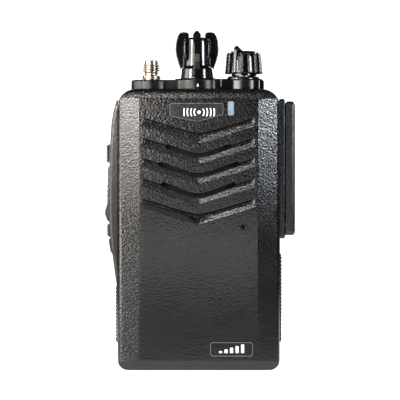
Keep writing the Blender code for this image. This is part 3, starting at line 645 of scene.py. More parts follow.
def slotOutline(half, middle, end, tall):
    flat = 1.0
    reach = half - tall / 2
    slope = (end - middle) / (reach - flat)
    thick = tall / 2
    bend = [(x, middle + slope * (sqrt(max(0, x - flat) ** 2 + 1.2) - 1.095))
            for x in (0.0, 1.4, 2.4, 3.6, 5.5)]
    turn = degrees(atan2(slope, 1))
    lower = [(x, z - thick) for x, z in bend]
    upper = [(x, z + thick) for x, z in reversed(bend)]
    right = lower + arc((reach, end), thick, turn - 90, turn + 90, 8) + upper
    return right[1:-1], (lower[0], upper[-1])


def slotCutter(index):
    half, middle, end = grille["slots"][index]
    right, (low, high) = slotOutline(half, middle, end, grille["slotTall"])
    outline = [low] + right + [high] + [(-x, z) for x, z in reversed(right)]
    return prism("slot%d" % index, outline, "XZ", housing["front"] - 2, housing["front"] + 4)


def badgeOutline(grow):
    return [(-11.1 - grow, 96.7 - grow * 0.6), (-0.4, 94.6 - grow * 1.1), (9.4 + grow, 97.3 - grow * 0.6),
            (9.4 + grow, 101.8 + grow), (-11.1 - grow, 101.8 + grow)]


def makeHousing():
    h = housing
    front = h["front"]
    shell = housingBlock("housingShell", 0.0, front, h["back"], (0.0, h["height"]))
    hollow = housingBlock("hollow", h["wall"], front + h["frontWall"], h["back"] + 1,
                          (h["wall"], h["height"] - h["wall"]))
    cut(shell, hollow)
    holes = [(jackX, 3.4), (channelX, 4.05), (volumeX, 4.05)]
    cutters = [rod("hole", radius, (x, controlY, h["height"] - 3), 4) for x, radius in holes]
    keyLow, keyHigh = lowHigh("side_button_2")[0], lowHigh("top_side_button")[1]
    pinLow, pinHigh = lowHigh("accessory_contact_block")
    gap = 0.4
    cutters.append(block("keyWindow", (-33, -28), (keyLow[1] - gap, keyHigh[1] + gap),
                         (keyLow[2] - gap, keyHigh[2] + gap)))
    cutters.append(block("pinWindow", (28, 33), (pinLow[1] - gap, pinHigh[1] + gap),
                         (pinLow[2] - gap, pinHigh[2] + gap)))
    cutters.append(block("tongueNotch", (-6, 6), (3.2, h["back"] + 1), (-1, h["wall"] + 0.1)))
    cutters.append(prism("lensWindow", roundedBox((10.8, 13.7), (96.7, 102.7), 0.5, 4), "XZ", front - 1,
                         front + 5))
    cutters.append(prism("badgeSeat", roundOff(badgeOutline(0.3), [0.8, 1.2, 0.8, 0.8, 0.8]), "XZ", front - 1,
                         front + 0.6))
    cutters.append(prism("labelSeat", roundedBox((4.0, 21.0), (5.1, 11.2), 1.3), "XZ", front - 1,
                         front + 0.5))
    # the microphone's oval dish, shallow at its rim, with a small hole
    dish = {"x": 17.25, "z": 54.6, "wide": 1.95, "tall": 1.4, "holeX": 16.95, "hole": 0.65}
    oval = [(dish["x"] + dish["wide"] * cos(2 * pi * i / 32), dish["z"] + dish["tall"] * sin(2 * pi * i / 32))
            for i in range(32)]
    cutters.append(prism("micDish", oval, "XZ", front + 0.6, front - 0.4, (dish["x"], dish["z"], 0.62)))
    cutters.append(rod("micHole", dish["hole"], (dish["holeX"], front - 1, dish["z"]), 5, "Y", 20))
    cutters += [grooveCutter(i) for i in range(grille["count"])]
    cutters += [slotCutter(i) for i in range(len(grille["slots"]))]
    cut(shell, *cutters)
    for side in (-1, 1):
        low, high = lowHigh("chassis_screw_left" if side < 0 else "chassis_screw_right")
        screwX, screwZ = (low[0] + high[0]) / 2, (low[2] + high[2]) / 2
        join(shell, rod("boss", 3.0, (screwX, front + h["frontWall"] - 0.4, screwZ), 14.9, "Y"))
        cut(shell, rod("bossHole", 1.5, (screwX, -7.5, screwZ), 8, "Y"))
    tidyMesh(shell)
    smooth(shell, 30)
    fit(shell, body, "black_case", plastic, "front_housing")
    print("housing made:", len(shell.data.polygons), "faces")


makeHousing()


# ---- badge, label, lens and marks on the front

def arcBand(name, center, radius, width, start, end, depth):
    outline = arc(center, radius + width / 2, start, end, 10) + arc(center, radius - width / 2, end, start,
                                                                    10)
    return prism(name, outline, "XZ", *depth)


def framedPlate(name, outline, low, high, rimWide, rimTall):
    # a plate with a raised rim along its edge
    plate = cushion(name, outline, "XZ", low, high, 0.12, "low", 3)
    floor = inset(outline, rimWide)
    cut(plate, prism("floor", floor, "XZ", low - 1, low + rimTall))
    return plate


def rim(name, outline, front, wide):
    # a paler band along a plate's edge: a painted rim highlight
    band = cushion(name, inset(outline, 0.04), "XZ", front - 0.03, front + 0.2, 0.04, "low", 2)
    cut(band, prism("inside", inset(outline, 0.04 + wide), "XZ", front - 1, front + 1))
    fit(smooth(band), body, "black_gloss", rimHighlightPlastic)


def makeTrim():
    badge = {"soft": (0.8, 1.6, 0.8, 0.9, 0.9), "rim": 0.42, "ink": 0.42, "center": (0.15, 98.25)}
    low, high = lowHigh("badge_plate")
    outline = roundOff(badgeOutline(0.0), badge["soft"])
    plate = framedPlate("badgePlate", outline, low[1], high[1], badge["rim"], 0.22)
    fit(smooth(plate), body, "black_gloss", badgePlastic, "badge_plate")
    # painted rim highlight along the badge's edge
    rim("badgeRimHighlight", outline, low[1], 0.22)
    level = (low[1] + 0.17, low[1] + 0.4)
    marks = [rod("dot", 0.62, (badge["center"][0], level[0], badge["center"][1]), level[1] - level[0], "Y",
                 24)]
    for radius, half in ((1.9, 42), (3.2, 28), (4.5, 20), (5.8, 15)):
        for side in (0, 180):
            marks.append(arcBand("wave", badge["center"], radius, badge["ink"], side - half, side + half,
                                 level))
    fit(merged("badgeMark", marks), body, "ptfe", ink)

    label = {"corner": 1.2, "rim": 0.32, "bars": 5, "barWide": 1.15, "barStep": 2.1, "foot": 6.75}
    low, high = lowHigh("model_label")
    outline = roundedBox((low[0], high[0]), (low[2], high[2]), label["corner"], 5)
    plate = framedPlate("modelLabel", outline, low[1] - 0.1, high[1], label["rim"], 0.14)
    fit(smooth(plate), body, "black_gloss", gloss, "model_label")
    # painted rim highlight along the label's edge
    rim("labelRimHighlight", outline, low[1] - 0.1, 0.28)
    level = (low[1] - 0.03, low[1] + 0.2)
    middle = (low[0] + high[0]) / 2
    bars = []
    for i in range(label["bars"]):
        x = middle + (i - 2) * label["barStep"]
        tall = 0.75 + 0.62 * i
        bars.append(prism("bar", roundedBox((x - label["barWide"] / 2, x + label["barWide"] / 2),
                                            (label["foot"], label["foot"] + tall), 0.2, 3), "XZ", *level))
    fit(merged("labelMark", bars), body, "ptfe", ink)

    low, high = lowHigh("indicator_lens")
    outline = roundedBox((low[0], high[0]), (low[2], high[2]), 0.35, 4)
    window = framedPlate("indicatorLens", outline, low[1], high[1], 0.3, 0.12)
    fit(smooth(window), body, "lens", lens, "indicator_lens")

    # a small raised microphone sign beside the sound hole
    front = housing["front"]
    level = (front - 0.13, front + 0.3)
    at = (9.3, 54.25)
    sign = [cushion("capsule", roundedBox((at[0] - 0.55, at[0] + 0.55), (at[1] - 0.35, at[1] + 1.45), 0.54,
                                          5),
                    "XZ", *level, 0.08, "low", 2),
            arcBand("cradle", (at[0], at[1] + 0.1), 1.15, 0.28, 180, 360, level),
            prism("stem", roundedBox((at[0] - 0.14, at[0] + 0.14), (at[1] - 1.75, at[1] - 0.95), 0.05, 2),
                  "XZ", *level),
            prism("foot", roundedBox((at[0] - 0.8, at[0] + 0.8), (at[1] - 1.95, at[1] - 1.65), 0.1, 2), "XZ",
                  *level)]
    for radius in (2.1, 3.1, 4.1):
        sign.append(arcBand("wave", (at[0], at[1] + 0.1), radius, 0.28, -26, 26, level))
    fit(smooth(merged("microphoneSign", sign)), body, "black_case", plastic)
    print("trim made")


badgePlastic = mouldedPlastic("badgePlastic", (0.004, 0.004, 0.0045), (0.014, 0.014, 0.0155), 0.3, 0.45)
# pale plastic of the painted rim highlights
rimHighlightPlastic = mouldedPlastic("rimHighlightPlastic", (0.03, 0.03, 0.034), (0.11, 0.11, 0.12), 0.3, 0.5)
makeTrim()


# ---- controls on the top

def fin(name, outline, half, radius=0.35):
    return cushion(name, outline, "XZ", -half, half, radius, "both", 3)


def makeChannelKnob():
    knob = {"large": 4, "largeHalf": 1.1, "smallHalf": 0.62}
    profile = [
        (0, 127.15), (3.2, 127.3), (4.45, 127.2), (4.95, 126.9), (5.15, 126.3), (5.3, 124.5), (5.42, 120.0),
        (5.6, 116.6), (5.85, 116.0), (6.2, 115.6), (6.35, 115.0), (6.5, 113.5), (6.72, 112.0), (6.78, 111.7),
        (6.7, 111.45), (6.4, 111.4), (3.2, 111.4), (3.2, 112.0), (0, 112.0),
    ]
    at = (channelX, controlY, 0)
    pieces = [lathe("core", profile, at, 96)]
    large = roundOff(
        [(3.0, 115.0), (6.3, 115.0), (7.35, 118.0), (8.1, 120.6), (8.35, 122.8), (8.15, 125.6), (7.55, 127.8),
         (6.6, 129.2), (5.3, 129.45), (3.6, 129.3), (3.1, 128.7), (3.1, 126.5)],
        [0, 0.5, 2, 2, 2, 2, 2, 1.0, 0.6, 0.6, 0.5, 0], 4)
    front = roundOff(
        [(3.0, 115.0), (6.3, 115.0), (7.2, 118.0), (7.9, 120.8), (8.15, 123.4), (7.9, 126.4), (7.35, 128.6),
         (6.5, 129.4), (5.7, 129.75), (4.6, 129.3), (3.4, 128.6), (3.1, 126.5)],
        [0, 0.5, 2, 2, 2, 2, 1.4, 0.7, 0.3, 0.8, 0.6, 0], 4)
    small = roundOff(
        [(3.6, 118.2), (5.9, 118.2), (6.7, 119.4), (7.1, 121.6), (7.1, 123.6), (6.75, 125.8), (6.1, 126.95),
         (3.6, 127.05)], [0, 0.7, 0.8, 2, 2, 1.2, 0.9, 0], 4)
    for i in range(knob["large"]):
        if i == 0:  # the pointer fin: wider near its top, which ends in a small roof
            arrow = mirrored([(0.95, 114.5), (0.95, 124.2), (1.45, 126.6), (1.5, 128.3), (0.3, 129.8)])
            arrow = roundOff(arrow, [0, 0.8, 0.8, 0.5, 0.2, 0.2, 0.5, 0.8, 0.8, 0])
            pointer = around(fin("pointer", front, 1.6, 0.3), (0, 0, 0), -90)
            common(pointer, prism("arrow", arrow, "XZ", -12, 1))
            pieces.append(around(pointer, at, 0))
        else:
            pieces.append(around(fin("fin", large, knob["largeHalf"]), at, -90 + 90 * i))
        pieces.append(around(fin("rib", small, knob["smallHalf"], 0.3), at, -45 + 90 * i))
    fit(smooth(merged("channelKnob", pieces), 38), "channel_dial", "black_knob", knobPlastic, "channel_knob")


def makeVolumeKnob():
    knob = {"ribs": 15, "ribHalf": 0.5}
    at = (volumeX, controlY, 0)
    profile = [
        (0, 121.75), (2.6, 121.95), (4.1, 122.1), (5.0, 121.95), (5.6, 121.5), (5.95, 120.8), (6.15, 119.6),
        (6.5, 114.6), (6.55, 113.9), (6.45, 113.5), (6.1, 113.3), (4.95, 113.3), (4.95, 112.7), (4.8, 112.6),
        (3.1, 112.6), (3.1, 113.2), (0, 113.2),
    ]
    pieces = [lathe("core", profile, at, 96)]
    rib = roundOff([(4.0, 113.35), (7.2, 113.35), (7.35, 113.9), (6.95, 118.4), (6.75, 120.4), (6.25, 121.5),
                    (4.0, 121.6)], [0, 0.4, 0.4, 2, 0.9, 0.8, 0], 4)
    pointer = roundOff([(1.2, 118.5), (6.9, 118.5), (6.95, 120.4), (6.6, 122.7), (5.9, 123.8), (5.1, 124.0),
                        (1.2, 122.3)], [0, 0, 1, 0.9, 0.7, 0.7, 0], 4)
    for i in range(knob["ribs"]):
        angle = -120 + 360 / knob["ribs"] * i
        pieces.append(around(fin("rib", rib, knob["ribHalf"], 0.32), at, angle))
    pieces.append(around(fin("pointer", pointer, 0.68, 0.35), at, -120))
    fit(smooth(merged("volumeKnob", pieces), 38), "volume_dial", "black_knob", knobPlastic, "volume_knob")


def makeControlPlate():
    plate = {"x": (-25.9, 25.0), "back": 4.7, "front": -9.9, "low": 107.5, "leftTop": 110.9, "top": 111.3,
             "stepX": -9.6, "seam": 8.6, "bulges": ((-18.1, 8.4), (channelX, 9.6), (17.4, 7.9)), "soft": 0.75,
             "corner": 1.5, "frontCorner": 2.4}

    def frontEdge(x):
        # the straight front blends into a round bulge at each control
        y = plate["front"]
        for middle, radius in plate["bulges"]:
            across = x - middle
            if abs(across) < radius:
                reach = controlY - sqrt(radius * radius - across * across)
                y = min(y, reach)
        return y

    steps = 150
    left, right = plate["x"]
    xs = [left + 0.001 + (right - left - 0.002) * i / steps for i in range(steps + 1)]
    raw = [frontEdge(x) for x in xs]
    edge = [sum(raw[max(0, i - 2):i + 3]) / len(raw[max(0, i - 2):i + 3]) for i in range(steps + 1)]
    outline = []
    for x, y in zip(xs, edge):
        missing = plate["frontCorner"] - min(x - left, right - x)
        outline.append((x, max(y, plate["front"] + missing ** 2 / 2.6) if missing > 0 else y))
    corner = plate["corner"]
    outline += [(right, plate["back"] - corner)]
    outline += arc((right - corner, plate["back"] - corner), corner, 0, 90, 6)
    outline += arc((left + corner, plate["back"] - corner), corner, 90, 180, 6)
    base = cushion("controlPlate", outline, "XY", plate["low"], plate["leftTop"], plate["soft"], "high", 5)
    higher = [point for point in outline if point[0] > plate["stepX"]]
    upper = cushion("upperStep", higher, "XY", plate["low"], plate["top"], plate["soft"], "high", 5)
    holes = [rod("hole", radius, (x, controlY, plate["low"] - 1), 6, "Z", 64)
             for x, radius in ((jackX, 3.4), (channelX, 4.3), (volumeX, 7.4))]
    holes.append(rod("pocket", 5.6, (channelX, controlY, plate["low"] - 1), 3.3, "Z", 48))
    # a thin seam between the plate and the part that carries the collar
    holes.append(block("seam", (plate["seam"] - 0.09, plate["seam"] + 0.09), (-20, 10),
                       (plate["low"] + 0.9, plate["top"] + 1)))
    join(base, upper)
    cut(base, *holes)
    fit(smooth(tidyMesh(base), 34), body, "black_gloss", plateGloss, "control_plate")
    base.data.materials.append(gloss)
    for polygon in base.data.polygons:
        if polygon.center.x > plate["seam"] * mm:
            polygon.material_index = 1
    mark = prism("indexMark", [(-0.75, 108.3), (0.05, 108.3), (-0.35, 109.5)], "XZ", -12.72, -12.2)
    fit(mark, body, "ptfe", ink)

    at = (volumeX, controlY, 0)
    profile = [
        (4.3, 112.3), (6.35, 112.3), (6.65, 112.15), (6.8, 111.85), (6.86,
                                                                     111.2), (7.05, 107.6), (7.0, 107.5),
        (5.6, 107.5), (5.6, 109.8), (4.3, 109.8), (4.3, 112.3),
    ]
    collar = lathe("volumeCollar", profile, at, 96)
    notch = around(block("notch", (-0.55, 0.55), (-9, -6.6), (107.2, 108.5)), at, -38)
    cut(collar, notch)
    fit(smooth(collar, 38), body, "black_gloss", gloss, "volume_collar")
    dot = rod("offMark", 0.28, (volumeX - 4.35, controlY - 5.42, 109.15), 0.5, "Y", 16)
    fit(dot, body, "ptfe", ink)


def helix(name, at, root, tip, top, pitch, turns):
    # a screw thread that runs out at both ends
    perTurn = 40
    rings = []
    for i in range(perTurn * turns + 1):
        angle = 2 * pi * i / perTurn
        share = min(1, 4 * i / perTurn, 4 * (perTurn * turns - i) / perTurn)
        height = top - pitch * i / perTurn
        crest = root + (tip - root) * share
        section = [(root - 0.15, 0.31), (root, 0.31), (crest, 0.07), (crest, -0.07), (root, -0.31),
                   (root - 0.15, -0.31)]
        rings.append([(at[0] + r * cos(angle), at[1] + r * sin(angle), height + z) for r, z in section])
    return loft(name, rings)


def makeAntennaJack():
    at = (jackX, controlY, 0)
    profile = [
        (0, 106.0), (2.28, 106.0), (2.28, 118.35), (2.33, 118.5), (2.55, 118.5), (2.68, 118.35), (2.7, 117.6),
        (2.72, 117.4), (2.72, 114.1), (2.62, 114.0), (2.55, 113.9), (2.55, 112.85), (2.62, 112.7),
        (3.4, 112.7), (3.55, 112.55), (3.55, 111.35), (3.5, 111.3), (3.0, 111.3), (3.0, 98.5), (0, 98.5),
    ]
    barrel = lathe("barrel", profile, at, 72)
    notches = [around(block("notch", (-0.7, 0.7), (-5, -3.05), (111.0, 111.95)), at, angle)
               for angle in (-28, 62, 152, 242)]
    cut(barrel, *notches)
    thread = helix("thread", at, 2.7, 3.25, 117.25, 0.85, 4)
    fit(smooth(merged("antennaBarrel", [barrel, thread]), 36), body, "jack_metal", jackMetal,
        "antenna_jack_barrel")


makeChannelKnob()
makeVolumeKnob()
makeControlPlate()
makeAntennaJack()
print("controls made")


# ---- side keys

def makeSideKeys():
    bezel = {
        "outer": [(-31.3, 103.2), (-32.0, 101.0), (-32.6, 98.8), (-33.4, 94.0), (-33.8, 87.4), (-34.1, 77.0),
                  (-34.3, 68.4), (-34.3, 61.0), (-34.1, 54.0), (-33.3, 45.6), (-32.9, 43.7), (-31.6, 34.2),
                  (-31.3, 32.6)],
        "soft": 1.3, "gap": 0.3,
    }
    low, high = lowHigh("side_key_frame")
    hidden = high[0] + 2 * bezel["soft"]
    outline = bezel["outer"] + [(hidden, low[2]), (hidden, high[2])]
    outline = roundOff(outline, [0.6] + [3] * 8 + [1.2, 1.2, 0.8, 0.3, 0, 0], 3)
    frameBody = cushion("sideKeyFrame", outline, "XZ", low[1], high[1], bezel["soft"], "both", 5)
    cut(frameBody, block("behind", (high[0], hidden + 5), (-30, 30), (0, 130)))
    keyLow, keyHigh = lowHigh("side_button_2")[0], lowHigh("top_side_button")[1]
    buttonY = [corner[1] for corner in lowHigh("ptt_button")]
    gap = bezel["gap"]
    face = (-10.0 - gap, 0.0 + gap)
    z = (keyLow[2] - gap, keyHigh[2] + gap)
    cut(frameBody, block("keyOpening", (-40, -29), face, z),
        block("keyCounterbore", (-32.4, -29), (buttonY[0] - gap, buttonY[1] + gap), z))
    fit(smooth(frameBody, 34), body, "black_case", sidePlastic, "side_key_frame")

    keys = {
        "ptt_button": ("ptt", [(77.7, -34.4), (77.25, -34.65), (76.2, -34.75), (72.0, -34.8), (63.5, -35.0),
                               (61.0, -35.8), (59.4, -35.85), (57.4, -35.1), (56.7, -34.6)]),
        "top_side_button": ("top_side_key", [(86.3, -34.1), (85.9, -34.9), (79.5, -35.0), (79.0, -34.3)]),
        "side_button_1": ("side_key_1", [(55.9, -34.3), (55.4, -35.05), (51.3, -34.95), (50.8, -34.2)]),
        "side_button_2": ("side_key_2", [(50.2, -34.1), (49.7, -34.5), (45.1, -33.75), (44.6, -33.3)]),
    }
    for node, (rider, shape) in keys.items():
        low, high = lowHigh(node)
        inner = high[0]
        top, foot = shape[0][0], shape[-1][0]
        if node == "top_side_button":  # fine ridges across it
            ridges = []
            for i in range(8):
                middle = 85.45 - 0.78 * i
                ridges += [(middle + 0.26, -34.95), (middle + 0.1, -35.4), (middle - 0.1, -35.4),
                           (middle - 0.26, -34.95)]
            shape = shape[:2] + ridges + shape[2:]
        outline = [(inner, top)] + [(x, z) for z, x in shape] + [(inner, foot)]
        cap = cushion(node + "Cap", outline, "XZ", -10.0, 0.0, 0.5, "both", 3)
        pieces = [cap, block("flange", (inner - 0.5, inner), (low[1], high[1]), (foot, top))]
        if node == "ptt_button":  # three raised bars where the thumb rests
            for i in range(3):
                middle = 66.5 + 1.8 * i
                pieces.append(cushion("grip", roundedBox((-8.0, -2.0), (middle - 0.3, middle + 0.3), 0.28,
                                                         3), "YZ",
                                      -35.12, -34.5, 0.15, "low", 2))
        fit(smooth(merged(node + "Shape", pieces), 36), rider, "black_rubber", keyRubber, node)
    print("side keys made")


makeSideKeys()


# ---- accessory connector and its dust cover

def makeConnector():
    low, high = lowHigh("accessory_connector_frame")
    pinLow, pinHigh = lowHigh("accessory_contact_block")
    screwZ = (lowHigh("accessory_cover_screw")[0][2] + lowHigh("accessory_cover_screw")[1][2]) / 2
    middle = (low[1] + high[1]) / 2
    outline = roundedBox((low[1], high[1]), (low[2], high[2] + 0.2), (1.6, 1.6, 2.0, 2.0), 6)
    strip = cushion("connectorFrame", outline, "YZ", low[0], high[0], 0.45, "high", 4)
    gap = 0.3
    cut(strip,
        block("opening", (30, 35), (pinLow[1] - gap, pinHigh[1] + gap), (pinLow[2] - gap, pinHigh[2] + gap)),
        rod("screwHole", 1.5, (30.0, middle, screwZ), 5, "X", 32))
    fit(smooth(strip, 34), body, "black_case", sidePlastic, "accessory_connector_frame")

    contacts = {"rows": 7, "pitch": 4.6, "radius": 0.95, "height": 0.12}
    contactBody = cushion("contactBlock", roundedBox((pinLow[1], pinHigh[1]), (pinLow[2], pinHigh[2]), 0.6,
                                                     4), "YZ",
                     pinLow[0], pinHigh[0], 0.3, "high", 3)
    fit(smooth(contactBody), body, "black_rubber", gloss, "accessory_contact_block")
    pads = []
    top, radius = 0.5 + contacts["height"], contacts["radius"]
    pad = [(0, top), (0.75, top), (radius, 0.45), (radius, 0), (0, 0)]
    center = ((pinLow[1] + pinHigh[1]) / 2, (pinLow[2] + pinHigh[2]) / 2)
    for i in range(contacts["rows"]):
        for side in (-1.6, 1.6):
            z = center[1] + (i - (contacts["rows"] - 1) / 2) * contacts["pitch"]
            pads.append(lathe("pad", pad, (pinHigh[0] - 0.5, center[0] + side, z), 24, "X"))
    fit(smooth(merged("contactPads", pads), 38), body, "gold", goldPlate)

    low, high = lowHigh("accessory_dust_cover")
    outline = roundedBox((low[1], high[1]), (low[2], high[2] + 0.45), (2.4, 2.4, 2.0, 2.0), 6)
    outer = high[0] + 0.65
    cover = cushion("dustCover", outline, "YZ", low[0], outer, 1.3, "high", 6)
    hollow = prism("hollow", roundedBox((low[1] + 1.5, high[1] - 1.5), (60.0, high[2] - 1.6), 0.8, 4), "YZ",
                   30, 34.9)
    grooves = [block("groove", (outer - 0.35, outer + 1), (low[1] + 3.2, high[1] - 3.2), (z, z + 0.7))
               for z in (66.0, 68.2, 70.4, 72.6)]
    # above the hinge line the cover stands clear of the strip, so that it can swing
    relief = block("relief", (low[0] - 1, low[0] + 0.6), (low[1] - 1, high[1] + 1), (high[2], high[2] + 2))
    cut(cover, hollow, relief, rod("hole", 1.5, (30.0, middle, screwZ), 8, "X", 32),
        rod("seat", 2.8, (34.9, middle, screwZ), 3, "X", 48), *grooves)
    fit(smooth(cover, 34), "dust_cover", "black_case", sidePlastic, "accessory_dust_cover")

    low, high = lowHigh("accessory_cover_screw")
    head = lathe("head", [(0, 1.0), (1.7, 1.0), (2.2, 0.88), (2.4, 0.6), (2.4, 0), (1.2, 0), (1.2, -3.6),
                          (0, -3.6)],
                 (high[0] - 1.0, middle, screwZ), 48, "X")
    cut(head, block("slot", (high[0] - 0.4, high[0] + 1), (middle - 0.4, middle + 0.4),
                    (screwZ - 3, screwZ + 3)))
    fit(smooth(head, 36), "cover_screw", "steel", steel, "accessory_cover_screw")
    print("connector made")


makeConnector()


# ---- battery

def makeBattery():
    low, high = lowHigh("battery_case")
    half, front, back, top = housing["half"], low[1], high[1], high[2]
    plan = mirrored([(half, front), (half, 12.5), (29.2, 15.6), (25.2, back)])
    plan = roundOff(plan, [0, 2.5, 1.6, 2.0, 2.0, 1.6, 2.5, 0], 5)
    outline = roundedBox((-half, half), (0.0, top), (housing["bottomCorner"], housing["bottomCorner"], 0, 0),
                         10)
    side = roundOff([(front - 1, 0), (back - 2.2, 0), (back, 2.2), (back, top - 0.6), (back - 0.6, top),
                     (front - 1, top)], [0, 1.2, 1.2, 0.3, 0.3, 0], 4)
    case = common(prism("batteryCase", plan, "XY", -1, top + 1),
                  prism("outline", outline, "XZ", front, back + 1),
                  prism("side", side, "YZ", -40, 40))
    cutters = [
        block("railGrooveLeft", (-25.8, -22.7), (4.0, 6.4), (84.0, top + 1)),
        block("railGrooveRight", (22.7, 25.8), (4.0, 6.4), (84.0, top + 1)),
        block("hollow", (-28.9, 28.9), (4.0, 14.9), (1.8, top - 1.8)),
        block("deepHollow", (-24.4, 24.4), (4.0, 16.4), (1.8, top - 1.8)),
        block("tabOpening", (-7.4, 7.4), (9.1, 15.1), (-1.0, 3.0)),
        prism("clipSlotLeft", roundedBox((-11.5, -9.0), (62.0, 82.0), 0.8, 4), "XZ", 17.1, 19.0),
        prism("clipSlotRight", roundedBox((9.0, 11.5), (62.0, 82.0), 0.8, 4), "XZ", 17.1, 19.0),
        # a shallow panel between the clip slots and the contacts
        prism("panel", roundedBox((-19.0, 19.0), (20.0, 56.0), 2.0, 6), "XZ", 17.75, 19.0),
    ]
    for i in range(3):
        contactLow, contactHigh = lowHigh("charge_contact_%d" % (i + 1))
        x, z = (contactLow[0] + contactHigh[0]) / 2, (contactLow[2] + contactHigh[2]) / 2
        cutters.append(rod("pocket", 2.1, (x, 17.0, z), 2, "Y", 40))
    cut(case, *cutters)
    tidyMesh(case)
    grips = []
    for name, outward, z in (("left", -1, (9.7, 32.3)), ("right", 1, (9.9, 44.1))):
        outer, inner = outward * 32.2, outward * 30.4
        valley, shoulder = outer - outward * 0.28, outer - outward * 0.3
        ridge = []
        count = round((z[1] - z[0] - 1.6) / 1.4)
        step = (z[1] - z[0] - 1.6) / count
        for i in range(count):
            foot = z[0] + 0.8 + step * i
            ridge += [(outer, foot + step * 0.2), (outer, foot + step * 0.62), (valley, foot + step * 0.75),
                      (valley, foot + step)]
        shape = [(inner, z[0]), (shoulder, z[0])] + ridge + [(shoulder, z[1]), (inner, z[1])]
        grips.append(cushion("grip" + name, shape, "XZ", 7.0, 12.0, 0.12, "both", 2))
    whole = merged("batteryShape", [smooth(case, 34, False)] + grips)
    fit(smooth(whole, 34), "battery", "black_case", plastic, "battery_case")
    print("battery made")


def makeLatchSpring():
    # a coil between the latch and the back wall
    low, high = lowHigh("latch_spring")
    coil = {"turns": 5, "perTurn": 24, "wire": 0.2, "radius": (high[2] - low[2]) / 2 - 0.2}
    middle = ((low[0] + high[0]) / 2, (low[2] + high[2]) / 2)
    rings = []
    count = coil["turns"] * coil["perTurn"]
    for i in range(count + 1):
        angle = 2 * pi * i / coil["perTurn"]
        y = low[1] + coil["wire"] + (high[1] - low[1] - 2 * coil["wire"]) * i / count
        ring = []
        for step in range(10):
            turn = 2 * pi * step / 10
            reach = coil["radius"] + coil["wire"] * cos(turn)
            ring.append((middle[0] + reach * cos(angle), y + coil["wire"] * sin(turn),
                         middle[1] + reach * sin(angle)))
        rings.append(ring)
    spring = fit(smooth(loft("latchSpringCoil", rings), 60), "battery", "steel", steel, "latch_spring")
    middle[1] * mm
    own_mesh(spring)


makeBattery()
makeLatchSpring()


# ---- finishes of the CAD nodes that stay

slotFinish = {
    "black_case": plastic, "black_gloss": gloss, "black_knob": knobPlastic, "black_rubber": keyRubber,
    "lens": lens, "jack_metal": jackMetal, "ptfe": insulator, "gold": goldPlate, "cast_metal": castMetal,
    "steel": steel, "board_green": board, "cell_wrap": wrap, "cone_paper": paper,
}
nodeSlot = {part["node"]: part["material_slot"] for part in frame["record"]["subparts"]}
for nodeName, obj in frame["nodes"].items():
    finish = slotFinish[nodeSlot[nodeName]]
    if nodeName in ("speaker_mesh", "mic_capsule"):  # black cloth faces the openings
        finish = cloth
    obj.data.materials.clear()
    obj.data.materials.append(finish)


# ---- stage, light and camera

def makeStage():
    studio = {"floorTone": (0.5, 0.5, 0.5), "size": 30.0, "white": 1.3, "glow": (0.03, 0.12),
              "glowStrength": 0.8}
    floor = addMesh("floor", bpy.data.meshes.new("floor"))
    bm = bmesh.new()
    bmesh.ops.create_grid(bm, x_segments=1, y_segments=1, size=studio["size"])
    bm.to_mesh(floor.data)
    bm.free()
    floor.location.z = -0.05 * mm
    g = Graph("floorTone")
    # seen directly the floor is pure white; close to the object it also throws light up
    seen = g.add("ShaderNodeLightPath")
    at = g.place()
    away = g.add("ShaderNodeVectorMath", {"operation": "LENGTH"}, {0: at}, 1)
    glow = g.between(away, 1.0, 0.0, *studio["glow"]) * studio["glowStrength"]
    strength = seen * studio["white"] + (1 - seen) * glow
    g.set(color=(*studio["floorTone"], 1), roughness=0.9, emission=(1, 1, 1, 1), emissionStrength=strength)
    floor.data.materials.append(g.material)


def areaLight(name, about, turn, away, height, aim, size, power, tint):
    # a soft light that stands round a point of the object, turned from the front towards +X
    light = bpy.data.lights.new(name, "AREA")
    light.shape = "RECTANGLE"
    light.size, light.size_y = size
    light.energy = power
    light.color = tint
    obj = bpy.data.objects.new(name, light)
    obj.location = (about[0] + away * sin(radians(turn)), about[1] - away * cos(radians(turn)), height)
    obj.rotation_euler = (Vector(aim) - obj.location).to_track_quat("-Z", "Y").to_euler()
    obj.visible_camera = False
    scene.collection.objects.link(obj)


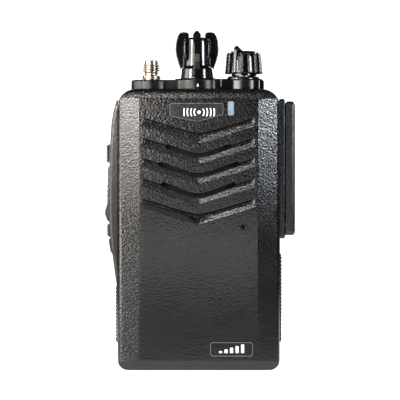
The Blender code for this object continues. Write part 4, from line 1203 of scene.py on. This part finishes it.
def makeLight():
    warm, neutral, cool = (1.0, 0.95, 0.90), (1.0, 0.99, 0.97), (0.86, 0.92, 1.0)
    left, right, middle = (-0.026, -0.016), (0.026, -0.016), (0, -0.017)
    leftTop, rightTop = (*left, 0.1), (*right, 0.1)
    areaLight("leftClose", left, -40, 0.12, 0.118, leftTop, (0.05, 0.04), 0.09, warm)
    areaLight("leftHigh", left, -40, 0.20, 0.14, leftTop, (0.05, 0.03), 0.1, warm)
    areaLight("leftFace", (-0.018, -0.018), -19, 0.085, 0.105, (-0.018, -0.018, 0.095), (0.03, 0.04), 0.04,
              warm)
    areaLight("leftGrain", middle, -26, 0.5, 0.16, (0, -0.018, 0.08), (0.15, 0.2), 0.6, warm)
    areaLight("leftStrip", middle, -52, 0.6, 0.06, (0, -0.01, 0.05), (0.1, 0.12), 0.75, warm)
    areaLight("leftSide", middle, -75, 0.5, 0.15, (0, -0.01, 0.07), (0.25, 0.35), 2.8, warm)
    areaLight("leftKnob", (0, -0.003), -45, 0.15, 0.16, (0, -0.003, 0.12), (0.02, 0.03), 0.2, warm)
    areaLight("rightClose", right, 49, 0.12, 0.113, rightTop, (0.05, 0.05), 0.09, cool)
    areaLight("rightHigh", (0, -0.004), 52, 0.20, 0.15, (0, -0.004, 0.115), (0.03, 0.05), 0.3, cool)
    areaLight("rightStrip", middle, 50, 0.6, 0.20, (0, -0.01, 0.06), (0.1, 0.5), 0.26, cool)
    areaLight("frontBand", middle, -4, 0.15, 0.046, (-0.008, -0.018, 0.048), (0.12, 0.035), 0.026, neutral)
    areaLight("overLeft", (0.01, -0.018), -23, 0.218, 0.349, (0.01, -0.018, 0.075), (0.06, 0.06), 0.4, warm)
    areaLight("overRight", (-0.01, -0.018), 23, 0.218, 0.349, (-0.01, -0.018, 0.075), (0.06, 0.06), 0.045,
              cool)
    areaLight("backLeft", (0, 0.015), -150, 0.5, 0.22, (0, 0.015, 0.06), (0.3, 0.3), 2.5, neutral)
    areaLight("backRight", (0, 0.015), 140, 0.5, 0.3, (0, 0.015, 0.06), (0.3, 0.3), 2.5, neutral)
    world = bpy.data.worlds.new("studio")
    scene.world = world
    world.use_nodes = True
    tree = world.node_tree
    background = tree.nodes["Background"]
    background.inputs["Color"].default_value = (1, 1, 1, 1)
    path = tree.nodes.new("ShaderNodeLightPath")
    amount = tree.nodes.new("ShaderNodeMapRange")
    amount.inputs["To Min"].default_value = 0.01
    amount.inputs["To Max"].default_value = 1.3
    tree.links.new(path.outputs["Is Camera Ray"], amount.inputs["Value"])
    tree.links.new(amount.outputs[0], background.inputs["Strength"])
    scene.view_settings.view_transform = "Standard"


def makeCamera():
    view = {"distance": 1.2, "height": 0.0649, "across": 0.0005, "fieldWidth": 0.152}
    camera = bpy.data.cameras.new("camera")
    camera.sensor_width = 36
    camera.lens = 36 * view["distance"] / view["fieldWidth"]
    camera.clip_start = 0.01
    camera.clip_end = 100
    obj = bpy.data.objects.new("camera", camera)
    obj.location = (view["across"], housing["front"] * mm - view["distance"], view["height"])
    obj.rotation_euler = (pi / 2, 0, 0)
    scene.collection.objects.link(obj)
    scene.camera = obj


makeStage()
makeLight()
makeCamera()
print("stage, light and camera made")
